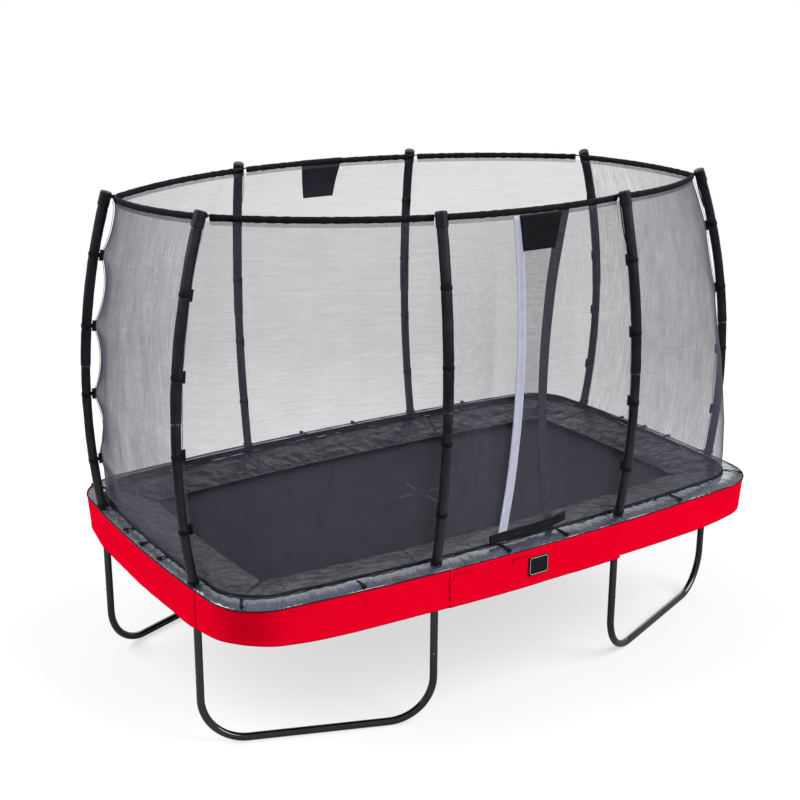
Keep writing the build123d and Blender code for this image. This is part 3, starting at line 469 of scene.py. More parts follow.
# ---------------------------------------------------------------- mesh drafting
class Draft:
    """Vertices, faces and UVs gathered for one mesh."""

    def __init__(self) -> None:
        """Start an empty draft."""
        self.points: list[Vector] = []
        self.faces: list[tuple[int, ...]] = []
        self.corners: list[tuple[float, float]] = []

    def grid(
        self, rows: Sequence[Row], us: Sequence[float], vs: Sequence[float], closed: bool = False
    ) -> None:
        """Add a grid of quads.

        Args:
            rows: Rows of points, all as long.
            us: UV across a row in metres, one more than its points if it is closed.
            vs: UV of each row in metres.
            closed: Whether each row joins up on itself.
        """
        start, width = len(self.points), len(rows[0])
        for row in rows:
            self.points.extend(row)
        for i in range(len(rows) - 1):
            for j in range(width if closed else width - 1):
                quad = ((i, j), (i, j + 1), (i + 1, j + 1), (i + 1, j))
                self.faces.append(tuple(start + a * width + b % width for a, b in quad))
                self.corners += [(us[b], vs[a]) for a, b in quad]

    def cap(self, row: Row, flip: bool = False) -> None:
        """Close a ring of points with one face.

        Args:
            row: The ring.
            flip: Whether to turn the face over.
        """
        start = len(self.points)
        self.points.extend(row)
        order = range(len(row) - 1, -1, -1) if flip else range(len(row))
        self.faces.append(tuple(start + i for i in order))
        self.corners += [(row[i].x, row[i].y) for i in order]

    def tube(
        self,
        path: Sequence[Vector],
        radius: Callable[[int, float], float],
        around: int = 12,
        aspect: float = 1.0,
        up: Vector = Vector((0, 0, 1)),
        capped: bool = True,
        closed: bool = False,
    ) -> None:
        """Add a tube that follows a path.

        Args:
            path: Points of its centreline.
            radius: Radius at a path index and an angle.
            around: Points in each ring.
            aspect: Height of the section over its width.
            up: Direction that the section's height keeps to.
            capped: Whether to close the ends.
            closed: Whether the path joins up on itself.
        """
        rows: list[Row] = []
        vs = [0.0]
        count = len(path)
        for index, point in enumerate(path):
            before = path[index - 1] if index or closed else path[0]
            after = path[(index + 1) % count] if index < count - 1 or closed else path[-1]
            along = (after - before).normalized()
            across = along.cross(up).normalized()
            rise = across.cross(along)
            row = []
            for step in range(around):
                angle = 2 * math.pi * step / around
                size = radius(index, angle)
                row.append(
                    point + across * math.cos(angle) * size + rise * math.sin(angle) * size * aspect
                )
            rows.append(row)
            if index:
                vs.append(vs[-1] + (point - path[index - 1]).length)
        girth = 2 * math.pi * radius(0, 0.0)
        us = marks(girth, around)
        if closed:
            rows.append(rows[0])
            vs.append(vs[-1] + (path[0] - path[-1]).length)
        self.grid(rows, us, vs, closed=True)
        if capped and not closed:
            self.cap(rows[0])
            self.cap(rows[-1], flip=True)

    def block(self, centre: Vector, x: Vector, y: Vector, z: Vector) -> None:
        """Add a box.

        Args:
            centre: Its middle.
            x: Half its length, as a vector.
            y: Half its width, as a vector.
            z: Half its thickness, as a vector.
        """
        low = [centre - z + x * a + y * b for a, b in ((-1, -1), (1, -1), (1, 1), (-1, 1))]
        high = [point + z * 2 for point in low]
        us = [0.0, x.length * 2, x.length * 2 + y.length * 2, x.length * 4 + y.length * 2, 1.0]
        self.grid([low, high], us, [0.0, z.length * 2], closed=True)
        self.cap(low, flip=True)
        self.cap(high)

    def make(
        self, name: str, material: bpy.types.Material, body: str | None = ROOT, soft: bool = True
    ) -> bpy.types.Object:
        """Turn the draft into an object.

        Args:
            name: The piece's name.
            material: Its material.
            body: The CAD body that it rides on, or None to leave that for later.
            soft: Whether its shading is smooth.

        Returns:
            The new object.
        """
        mesh = bpy.data.meshes.new(name)
        mesh.from_pydata([tuple(point) for point in self.points], [], self.faces)
        layer = mesh.uv_layers.new(name="Flat")
        layer.data.foreach_set("uv", [value for corner in self.corners for value in corner])
        mesh.polygons.foreach_set("use_smooth", [soft] * len(mesh.polygons))
        mesh.materials.append(material)
        mesh.update()
        piece = bpy.data.objects.new(name, mesh)
        bpy.context.scene.collection.objects.link(piece)
        if soft:
            weld = piece.modifiers.new("Weld", "WELD")
            weld.merge_threshold = 0.05 * MM
        if body:
            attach(piece, body)
        return piece


def thicken(piece: bpy.types.Object, thickness: float, offset: float = 0.0) -> None:
    """Give a sheet its cloth's thickness.

    Args:
        piece: The sheet.
        thickness: Its thickness.
        offset: -1 to grow inwards, 1 outwards and 0 both ways.
    """
    solid = piece.modifiers.new("Cloth thickness", "SOLIDIFY")
    solid.thickness = thickness
    solid.offset = offset


# ---------------------------------------------------------------- materials
def hex_colour(code: str) -> Colour:
    """Turn an sRGB hex code into linear light.

    Args:
        code: Six hex digits.

    Returns:
        The colour with alpha 1.
    """
    values = [int(code[i : i + 2], 16) / 255 for i in (0, 2, 4)]
    linear = [v / 12.92 if v <= 0.04045 else ((v + 0.055) / 1.055) ** 2.4 for v in values]
    return (linear[0], linear[1], linear[2], 1.0)


class Graph:
    """The node tree of a material or a world."""

    def __init__(self, owner: bpy.types.Material | bpy.types.World) -> None:
        """Empty the tree.

        Args:
            owner: What it belongs to.
        """
        owner.use_nodes = True
        self.tree = owner.node_tree
        self.tree.nodes.clear()

    def feed(self, target: bpy.types.NodeSocket, value: object) -> None:
        """Link or set an input.

        Args:
            target: The input.
            value: A number or colour, a socket, or a node whose first output is read.
        """
        if isinstance(value, bpy.types.Node):
            value = value.outputs[0]
        if isinstance(value, bpy.types.NodeSocket):
            self.tree.links.new(value, target)
        else:
            target.default_value = value

    def add(self, kind: str, *values: object, stops: Stops = (), **named: object) -> Node:
        """Add one node with its settings and links.

        Args:
            kind: Its type, without Blender's prefix.
            *values: Its inputs, in order.
            stops: Places and hex codes along a colour ramp.
            **named: Inputs by name, with underscores for spaces, and lower-case properties.

        Returns:
            The node.
        """
        node = self.tree.nodes.new(f"ShaderNode{kind}")
        for name, value in named.items():
            if name[0].islower():
                setattr(node, name, value)
            else:
                self.feed(node.inputs[name.replace("_", " ")], value)
        for target, value in zip(node.inputs, values):
            self.feed(target, value)
        for number, (place, code) in enumerate(stops):
            node.color_ramp.elements[number].position = place
            node.color_ramp.elements[number].color = hex_colour(code)
        return node


class Surface(Graph):
    """A material's tree, with the patterns that several finishes share."""

    def __init__(self, name: str) -> None:
        """Make an empty material."""
        self.material = bpy.data.materials.new(name)
        super().__init__(self.material)

    def finish(self, **inputs: object) -> bpy.types.Material:
        """Close the tree with a principled shader."""
        self.add("OutputMaterial", Surface=self.add("BsdfPrincipled", **inputs))
        return self.material

    def place(self, stretch: Stretch = (1, 1, 1)) -> Node:
        """Read the object's own coordinates in metres, stretched along each axis."""
        return self.add("Mapping", Vector=self.add("TexCoord").outputs["Object"], Scale=stretch)

    def cloth(self, stretch: Stretch = (1, 1, 1)) -> Node:
        """Read the cloth's own flat coordinates in metres, stretched along each axis."""
        return self.add("Mapping", Vector=self.add("UVMap", uv_map="Flat"), Scale=stretch)

    def creases(self, at: Node, size: float) -> Node:
        """Draw sharp creases that branch, as in a coated cloth that has been folded.

        Args:
            at: Coordinates in metres.
            size: Distance between creases.

        Returns:
            Height from 0 to 1, highest along the creases.
        """
        drift = self.add("TexNoise", Vector=at, Scale=1 / size)
        away = self.add("Math", drift, 2.0, -1.0, operation="MULTIPLY_ADD")
        away = self.add("Math", away, operation="ABSOLUTE")
        away = self.add("Math", away, 0.55, operation="POWER")
        return self.add("Math", 1.0, away, operation="SUBTRACT")

    def weave(self, at: Node, pitch: float) -> Node:
        """Draw a plain weave of crossing threads.

        Args:
            at: Coordinates in metres.
            pitch: Distance from thread to thread.

        Returns:
            The weave's height from 0 to 1.
        """
        turns = []
        for axis in self.add("SeparateXYZ", at).outputs[:2]:
            turn = self.add("Math", axis, 2 * math.pi / pitch, operation="MULTIPLY")
            turns.append(self.add("Math", turn, operation="SINE"))
        product = self.add("Math", *turns, operation="MULTIPLY")
        return self.add("Math", product, 0.5, 0.5, operation="MULTIPLY_ADD")


@dataclass(frozen=True)
class PowderCoat:
    """Gloss black powder coat, baked on steel tube: deep black with a broken, sharp highlight.

    The powder melts into a faint orange peel, and hands dull it in wide patches.
    """

    name: str = "gloss_black_powder_coat_on_steel_tube"
    colour: str = "0B0B0D"
    handled: str = "17171B"
    patch: float = 111 * MM
    peel: float = 3.5 * MM

    def build(self) -> bpy.types.Material:
        """Build the material.

        Returns:
            The material.
        """
        g = Surface(self.name)
        at = g.place()
        wear = g.add("TexNoise", Vector=at, Scale=1 / self.patch, Detail=4.0)
        peel = g.add("TexNoise", Vector=at, Scale=1 / self.peel)
        return g.finish(
            Base_Color=g.add("ValToRGB", wear, stops=((0.3, self.colour), (0.75, self.handled))),
            Roughness=g.add("MapRange", wear, 0.3, 0.7, 0.14, 0.26),
            Coat_Weight=0.5,
            Coat_Roughness=0.06,
            Normal=g.add("Bump", Height=peel, Distance=0.12 * MM, Strength=0.5),
        )


@dataclass(frozen=True)
class FoamCover:
    """Laminated cloth sewn round foam: charcoal with a blue cast, soft sheen, lengthwise creases.

    Its weave keeps its real pitch, so it shows only close up.
    """

    name: str = "laminated_charcoal_cloth_over_foam"
    colour: str = "15141C"
    worn: str = "24232D"
    crease: float = 23.8 * MM
    patch: float = 167 * MM
    pitch: float = 1.1 * MM

    def build(self) -> bpy.types.Material:
        """Build the material.

        Returns:
            The material.
        """
        g = Surface(self.name)
        along = g.place((1.0, 1.0, 0.22))
        creases = g.add("TexNoise", Vector=along, Scale=1 / self.crease, Detail=4.0, Roughness=0.6)
        at = g.place()
        rub = g.add("TexNoise", Vector=at, Scale=1 / self.patch, Detail=5.0, Roughness=0.65)
        creased = g.add("Bump", Height=creases, Distance=4 * MM, Strength=0.7)
        weave = g.weave(g.cloth(), self.pitch)
        return g.finish(
            Base_Color=g.add("ValToRGB", rub, stops=((0.35, self.colour), (0.75, self.worn))),
            Roughness=g.add("MapRange", rub, 0.3, 0.7, 0.26, 0.42),
            Specular_IOR_Level=0.5,
            Normal=g.add("Bump", Height=weave, Distance=0.1 * MM, Strength=0.5, Normal=creased),
        )


@dataclass(frozen=True)
class NetMesh:
    """Knitted polyester net: grey threads that veil what is behind, more so at a slant.

    The real net is knitted at about 2 mm, too fine to show, so its threads are drawn at 4.8 mm.
    """

    name: str
    cover: float
    crinkle: float
    colour: str = "444350"
    lit: str = "565563"
    pitch: float = 4.8 * MM
    course: float = 11.1 * MM
    crimp: float = 16.1 * MM
    gather: float = 77 * MM
    patch: float = 435 * MM

    def build(self) -> bpy.types.Material:
        """Build the material.

        Returns:
            The material.
        """
        g = Surface(self.name)
        courses, crimps, gathers = (
            g.add("TexNoise", Vector=g.cloth(run), Scale=1 / size, Detail=3.0, Roughness=0.6)
            for run, size in (
                ((0.05, 1.0, 1.0), self.course),
                ((1.0, 0.10, 1.0), self.crimp),
                ((1.0, 0.22, 1.0), self.gather),
            )
        )
        drift = g.add("TexNoise", Vector=g.place(), Scale=1 / self.patch, Detail=3.0)
        cover = g.add("MapRange", self._threads(g), 0, 1, 0.55, 2.05)
        cover = g.add("Math", cover, self.cover, operation="MULTIPLY")
        for spread in (
            (courses, 0.3, 0.7, 0.87, 1.13),
            (crimps, 0.32, 0.68, 1 - self.crinkle, 1 + self.crinkle * 1.15),
            (gathers, 0.3, 0.7, 1 - self.crinkle / 2, 1 + self.crinkle / 2),
            (drift, 0.3, 0.7, 0.94, 1.06),
        ):
            cover = g.add("Math", cover, g.add("MapRange", *spread), operation="MULTIPLY")
        return g.finish(
            Base_Color=g.add("ValToRGB", crimps, stops=((0.3, self.colour), (0.7, self.lit))),
            Roughness=0.6,
            Specular_IOR_Level=0.2,
            Alpha=self._veil(g, cover),
        )

    def _threads(self, g: Surface) -> Node:
        """Draw the threads both ways: 1 on a thread and 0 in a hole.

        Args:
            g: The material's tree.

        Returns:
            The threads.
        """
        threads = []
        for axis in g.add("SeparateXYZ", g.cloth()).outputs[:2]:
            turn = g.add("Math", axis, 1 / self.pitch, operation="MULTIPLY")
            turn = g.add("Math", turn, operation="FRACT")
            away = g.add("Math", turn, 0.5, operation="SUBTRACT")
            away = g.add("Math", away, operation="ABSOLUTE")
            threads.append(g.add("Math", away, 0.42, operation="GREATER_THAN"))
        return g.add("Math", *threads, operation="MAXIMUM")

    def _veil(self, g: Surface, cover: Node) -> Node:
        """Hide more of what is behind where the net is seen at a slant.

        Args:
            g: The material's tree.
            cover: The part of the net that its threads fill, seen square on.

        Returns:
            The net's alpha.
        """
        seen = g.add("NewGeometry").outputs
        square = g.add("VectorMath", seen["Incoming"], seen["Normal"], operation="DOT_PRODUCT")
        square = g.add("Math", square.outputs["Value"], operation="ABSOLUTE")
        square = g.add("Math", square, 0.12, operation="MAXIMUM")
        square = g.add("Math", square, 1.2, operation="POWER")
        depth = g.add("Math", 1.0, square, operation="DIVIDE")
        cover = g.add("Math", cover, 0.95, operation="MINIMUM")
        clear = g.add("Math", 1.0, cover, operation="SUBTRACT")
        clear = g.add("Math", clear, depth, operation="POWER")
        return g.add("Math", 1.0, clear, operation="SUBTRACT")


@dataclass(frozen=True)
class CoatedCloth:
    """Polyester cloth coated with PVC, laid over foam or hung as a skirt: soft folds and scuffs.

    Its weave keeps its real pitch under the coating, so it shows only close up. Its base colour
    is painted darker in the hollows of its folds: painted shade.
    """

    name: str
    colour: str
    # deep: the darker colour painted into the fold hollows as painted shade
    deep: str
    fold: float
    fold_depth: float
    rough: float
    gloss: float = 0.0
    layer: float = 1.5
    shine: float = 0.3
    ridges: float = 0.0
    pleat: float = 0.0
    grain: float = 0.6
    pitch: float = 1.4 * MM

    def build(self) -> bpy.types.Material:
        """Build the material.

        Returns:
            The material.
        """
        g = Surface(self.name)
        at = g.place()
        folds, fine = (
            g.add("TexNoise", Vector=at, Scale=1 / size, Detail=detail, Roughness=self.grain)
            for size, detail in ((self.fold, 5.0), (self.fold / 6, 3.0))
        )
        layers = [(folds, self.fold_depth, 0.9), (fine, self.fold_depth / 8, 0.6)]
        if self.ridges:
            layers.append((g.creases(at, self.fold / 1.7), self.ridges, 0.8))
        if self.pleat:
            layers += self._gathers(g, at)
        layers.append((g.weave(g.cloth(), self.pitch), 0.12 * MM, 0.5))
        before: dict[str, Node] = {}
        for height, depth, strength in layers:
            bump = g.add("Bump", Height=height, Distance=depth, Strength=strength, **before)
            before = {"Normal": bump}
        return g.finish(
            # Painted shade: the colour darkens towards deep where the folds that drive the bump
            # sink
            Base_Color=g.add("ValToRGB", folds, stops=((0.32, self.deep), (0.66, self.colour))),
            Roughness=g.add("MapRange", fine, 0.3, 0.7, self.rough - 0.08, self.rough + 0.08),
            Specular_IOR_Level=self.shine,
            Coat_Weight=self.gloss,
            Coat_Roughness=0.16,
            Coat_IOR=self.layer,
            **before,
        )

    def _gathers(self, g: Surface, at: Node) -> list[tuple[Node, float, float]]:
        """Draw the cloth's pleats and crumples, which fade out towards its inner edge.

        Args:
            g: The material's tree.
            at: Coordinates in metres.

        Returns:
            Height, depth and strength, for the pleats and for the crumples.
        """
        across, along = g.add("SeparateXYZ", g.cloth()).outputs[:2]
        outer = g.add("MapRange", across, 60 * MM, 110 * MM, 0.0, 1.0)
        drift = g.add("TexNoise", Vector=at, Scale=1 / (71.4 * MM), Detail=3.0)
        drift = g.add("Math", drift, 9.0, operation="MULTIPLY")
        turn = g.add("Math", along, 2 * math.pi / self.pleat, drift, operation="MULTIPLY_ADD")
        turn = g.add("Math", turn, operation="SINE")
        crumple = g.add("TexNoise", Vector=at, Scale=1 / (13.3 * MM), Detail=3.0)
        turn, crumple = (
            g.add("Math", height, outer, operation="MULTIPLY") for height in (turn, crumple)
        )
        return [(turn, 1.4 * MM, 0.8), (crumple, 12 * MM, 1.0)]


@dataclass(frozen=True)
class MatWeave:
    """Woven polypropylene mat: matt charcoal, chafed pale in patches and streaks.

    The real weave is about 1 mm, too fine to show, so it is drawn at 3.2 mm. One plain cross,
    open in its middle, marks the mat's centre.
    """

    name: str = "woven_polypropylene_mat"
    colour: str = "211F25"
    chafed: str = "2B2930"
    mark: str = "66666F"
    pitch: float = 3.2 * MM
    patch: float = 625 * MM
    streak: float = 250 * MM
    mark_reach: float = 170 * MM
    mark_gap: float = 60 * MM
    mark_half: float = 4 * MM

    def build(self) -> bpy.types.Material:
        """Build the material.

        Returns:
            The material.
        """
        g = Surface(self.name)
        at, along = g.place(), g.place((0.5, 5.0, 1.0))
        wear = g.add("TexNoise", Vector=at, Scale=1 / self.patch, Detail=6.0, Roughness=0.68)
        streak = g.add("TexNoise", Vector=along, Scale=1 / self.streak, Detail=4.0, Roughness=0.6)
        tone = g.add("Math", wear, 0.6, operation="MULTIPLY")
        tone = g.add("Math", streak, 0.4, tone, operation="MULTIPLY_ADD")
        marked = g.add("Mix", self._cross(g, at), data_type="RGBA")
        base = g.add("ValToRGB", tone, stops=((0.38, self.colour), (0.62, self.chafed)))
        g.feed(marked.inputs[6], base)
        g.feed(marked.inputs[7], hex_colour(self.mark))
        weave = g.weave(at, self.pitch)
        return g.finish(
            Base_Color=marked.outputs[2],
            Roughness=g.add("MapRange", wear, 0.3, 0.7, 0.6, 0.8),
            Specular_IOR_Level=0.12,
            Normal=g.add("Bump", Height=weave, Distance=0.6 * MM, Strength=0.8),
        )

    def _cross(self, g: Surface, at: Node) -> Node:
        """Draw the worn cross.

        Args:
            g: The material's tree.
            at: Coordinates in metres.

        Returns:
            How much of the mark's colour to show.
        """
        away = [
            g.add("Math", axis, operation="ABSOLUTE")
            for axis in g.add("SeparateXYZ", at).outputs[:2]
        ]
        arms = []
        for along, across in (away, away[::-1]):
            arm = g.add("Math", along, self.mark_reach, operation="LESS_THAN")
            for side, edge, test in (
                (along, self.mark_gap, "GREATER_THAN"),
                (across, self.mark_half, "LESS_THAN"),
            ):
                inside = g.add("Math", side, edge, operation=test)
                arm = g.add("Math", arm, inside, operation="MULTIPLY")
            arms.append(arm)
        cross = g.add("Math", *arms, operation="MAXIMUM")
        return g.add("Math", cross, 0.7, operation="MULTIPLY")


@dataclass(frozen=True)
class Webbing:
    """Woven polyester strap or tape: ribbed across, matt, slightly uneven in tone.

    Its ribs keep their real pitch, so they show only close up.
    """

    name: str
    colour: str
    lit: str
    rough: float = 0.7
    rib: float = 1.6 * MM
    patch: float = 26.3 * MM

    def build(self) -> bpy.types.Material:
        """Build the material.

        Returns:
            The material.
        """
        g = Surface(self.name)
        at = g.place()
        tone = g.add("TexNoise", Vector=at, Scale=1 / self.patch, Detail=4.0, Roughness=0.6)
        uneven = g.add("Bump", Height=tone, Distance=2 * MM, Strength=0.6)
        weave = g.weave(g.cloth(), self.rib)
        return g.finish(
            Base_Color=g.add("ValToRGB", tone, stops=((0.3, self.colour), (0.72, self.lit))),
            Roughness=self.rough,
            Specular_IOR_Level=0.15,
            Normal=g.add("Bump", Height=weave, Distance=0.4 * MM, Strength=0.7, Normal=uneven),
        )


@dataclass(frozen=True)
class Moulded:
    """Injection-moulded polypropylene: fine spark texture from its tool and a soft highlight.

    The real texture is about 0.2 mm, too fine to show, so it is drawn coarser.
    """

    name: str = "moulded_black_plastic"
    colour: str = "121216"
    scuffed: str = "1E1E24"
    spark: float = 0.714 * MM
    scuff: float = 33.3 * MM

    def build(self) -> bpy.types.Material:
        """Build the material.

        Returns:
            The material.
        """
        g = Surface(self.name)
        at = g.place()
        spark = g.add("TexNoise", Vector=at, Scale=1 / self.spark)
        scuff = g.add("TexNoise", Vector=at, Scale=1 / self.scuff, Detail=4.0)
        return g.finish(
            Base_Color=g.add("ValToRGB", scuff, stops=((0.3, self.colour), (0.75, self.scuffed))),
            Roughness=g.add("MapRange", scuff, 0.3, 0.7, 0.32, 0.5),
            Specular_IOR_Level=0.3,
            Normal=g.add("Bump", Height=spark, Distance=0.1 * MM, Strength=0.6),
        )


@dataclass(frozen=True)
class Zinc:
    """Bright zinc plate on drawn spring wire and screws: pale metal with hazy patches.

    The wire's own grain is about 0.1 mm, too fine to show, so it is drawn coarser.
    """

    name: str = "bright_zinc_plate"
    dull: str = "8E9298"
    bright: str = "C2C6CA"
    haze: float = 16.7 * MM
    grain: float = 1.11 * MM

    def build(self) -> bpy.types.Material:
        """Build the material.

        Returns:
            The material.
        """
        g = Surface(self.name)
        at = g.place()
        haze = g.add("TexNoise", Vector=at, Scale=1 / self.haze, Detail=4.0, Roughness=0.65)
        grain = g.add("TexNoise", Vector=at, Scale=1 / self.grain)
        return g.finish(
            Base_Color=g.add("ValToRGB", haze, stops=((0.3, self.dull), (0.7, self.bright))),
            Metallic=1.0,
            Roughness=g.add("MapRange", haze, 0.3, 0.7, 0.24, 0.46),
            Normal=g.add("Bump", Height=grain, Distance=0.08 * MM, Strength=0.5),
        )


class Palette:
    """Every finish, built once."""

    def __init__(self) -> None:
        """Build the materials."""
        self.steel = PowderCoat().build()
        self.foam = FoamCover().build()
        self.net = NetMesh("open_knitted_mesh", cover=0.255, crinkle=0.03).build()
        self.end_net = NetMesh("open_knitted_mesh_gathered", cover=0.285, crinkle=0.26).build()
        self.hem_net = NetMesh("doubled_knitted_mesh", cover=0.46, crinkle=0.20).build()
        self.zinc = Zinc().build()
        self.plastic = Moulded().build()
        self.mat = MatWeave().build()
        # Each coated cloth's deep colour is painted shade in the hollows of its folds
        self.pad = CoatedCloth(
            "wrinkled_charcoal_coated_cloth",
            colour="1F1F26",
            deep="131319",
            fold=222 * MM,
            fold_depth=42 * MM,
            rough=0.36,
            gloss=0.22,
            ridges=24 * MM,
            grain=0.36,
        ).build()
        self.band = CoatedCloth(
            "glossy_blue_grey_coated_cloth",
            colour="444858",
            deep="2B2E3B",
            fold=167 * MM,
            fold_depth=8 * MM,
            rough=0.16,
            gloss=1.0,
            layer=1.8,
            pleat=19 * MM,
        ).build()
        self.skirt = CoatedCloth(
            "red_coated_polyester",
            colour="F40228",
            deep="EC0225",
            fold=333 * MM,
            fold_depth=4 * MM,
            rough=0.6,
            shine=0.0,
            pitch=1.2 * MM,
        ).build()
        self.black, self.faded = (
            CoatedCloth(name, colour, deep, 71.4 * MM, 4 * MM, rough=0.6, shine=0.15).build()
            for name, colour, deep in (
                ("black_coated_cloth", "17171C", "101014"),
                ("faded_black_coated_cloth", "1F1E25", "18171D"),
            )
        )
        self.webbing = Webbing("black_woven_webbing", "0E0E12", "1C1C22").build()
        self.thread = Webbing("dark_grey_knitted_tape", "2E2E36", "3E3E47").build()
        self.cream = Webbing("cream_embroidery_thread", "BDBD9C", "D2D2B4").build()
        self.pale = Webbing("pale_lavender_woven_trim", "BBBCD0", "CBCCDD", 0.6).build()
        self.grey = Webbing("dark_grey_woven_trim", "45434B", "5A5860").build()


# ---------------------------------------------------------------- sub-assemblies
@dataclass
class SteelFrame:
    """Rails, sockets, legs and poles: CAD nodes whose shapes are right, so only painted."""

    palette: Palette
    tubes: tuple[str, ...] = ("rail_", "leg_base_", "leg_posts_", "poles_", "frame_sockets")
    bright: tuple[str, ...] = ("leg_screws", "mat_rings")
    plastic: tuple[str, ...] = ("pole_caps", "ring_rods")

    def build(self) -> None:
        """Paint the CAD nodes."""
        pairs = (
            (self.tubes, self.palette.steel),
            (self.bright, self.palette.zinc),
            (self.plastic, self.palette.plastic),
        )
        for name, node in frame["nodes"].items():
            for stems, material in pairs:
                if name.startswith(stems):
                    node.data.materials.clear()
                    node.data.materials.append(material)
                    for slot in node.material_slots:
                        slot.material = material


@dataclass
class Sleeves:
    """Foam sleeves on the poles, pinched a little where each net tie goes round."""

    palette: Palette
    lower_radius: float = 0.0255
    upper_radius: float = 0.0280
    foot: float = 0.928
    pinch: float = 0.0022

    def build(self) -> None:
        """Build a lower and an upper sleeve on each pole."""
        for post in PLAN.posts:
            head = PLAN.pole(post).at(1.0).z - 0.044
            self._sleeve(post, "lower", self.foot, PLAN.sleeve_joint, self.lower_radius)
            self._sleeve(post, "upper", PLAN.sleeve_joint - 0.003, head, self.upper_radius)

    def _sleeve(self, post: Post, part: str, low: float, high: float, size: float) -> None:
        """Build one sleeve.

        Args:
            post: The pole's post.
            part: Lower or upper.
            low: Height of its foot.
            high: Height of its top.
            size: Its radius.
        """
        arc = PLAN.pole(post)
        first, last = arc.share_at_height(low), arc.share_at_height(high)
        count = 110
        shares = [mix(first, last, step / (count - 1)) for step in range(count)]
        path = [arc.at(share) for share in shares]
        seed = post.sign_x * 3.1 + post.sign_y * 7.7 + post.on_side * 1.3

        def radius(index: int, angle: float) -> float:
            """Find the sleeve's radius, pinched at its ties, its folds and its ends.

            Args:
                index: Which point of the path.
                angle: Where round it.

            Returns:
                The radius.
            """
            z = path[index].z
            ties = sum(math.exp(-(((z - tie) / 0.014) ** 2)) for tie in PLAN.tie_heights)
            near = sum(math.exp(-(((z - tie) / 0.07) ** 2)) for tie in PLAN.tie_heights)
            folds = ripple(math.cos(angle) * 1.4 + seed, math.sin(angle) * 1.4, z * 9)
            creases = ripple(math.cos(angle) * 3, math.sin(angle) * 3 + seed, z * 26)
            ends = smooth(0.0, 0.01, min(z - low, high - z) + 0.003)
            seam = 0.0012 * math.exp(-(((angle - math.pi) / 0.07) ** 2))
            soft = 0.0009 * folds + 0.0006 * creases * (0.5 + near)
            return (size + soft - self.pinch * ties + seam) * mix(0.93, 1.0, ends)

        draft = Draft()
        draft.tube(path, radius, around=36, up=Vector((post.sign_x, post.sign_y, 0.01)))
        piece = draft.make(f"sleeve_{part}_{post.name}", self.palette.foam)
        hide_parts(f"sleeves_{part}")


def bend(values: tuple[float, float, float], share: float) -> float:
    """Read a parabola through three values."""
    ends = values[0] * (1 - share) * (1 - 2 * share) + values[2] * share * (2 * share - 1)
    return ends + 4 * values[1] * share * (1 - share)


@dataclass(frozen=True)
class Flap:
    """An entrance edge: its distance from the middle and its width at foot, middle and top."""

    away: tuple[float, float, float]
    width: tuple[float, float, float]
    offset: float


@dataclass(frozen=True)
class Panel:
    """A net panel: its posts, its ends round the net's foot, its ring rod and its four corners."""

    span: Span
    first: float
    last: float
    ring: Arc
    feet: tuple[Vector, ...]
    tops: tuple[Vector, ...]


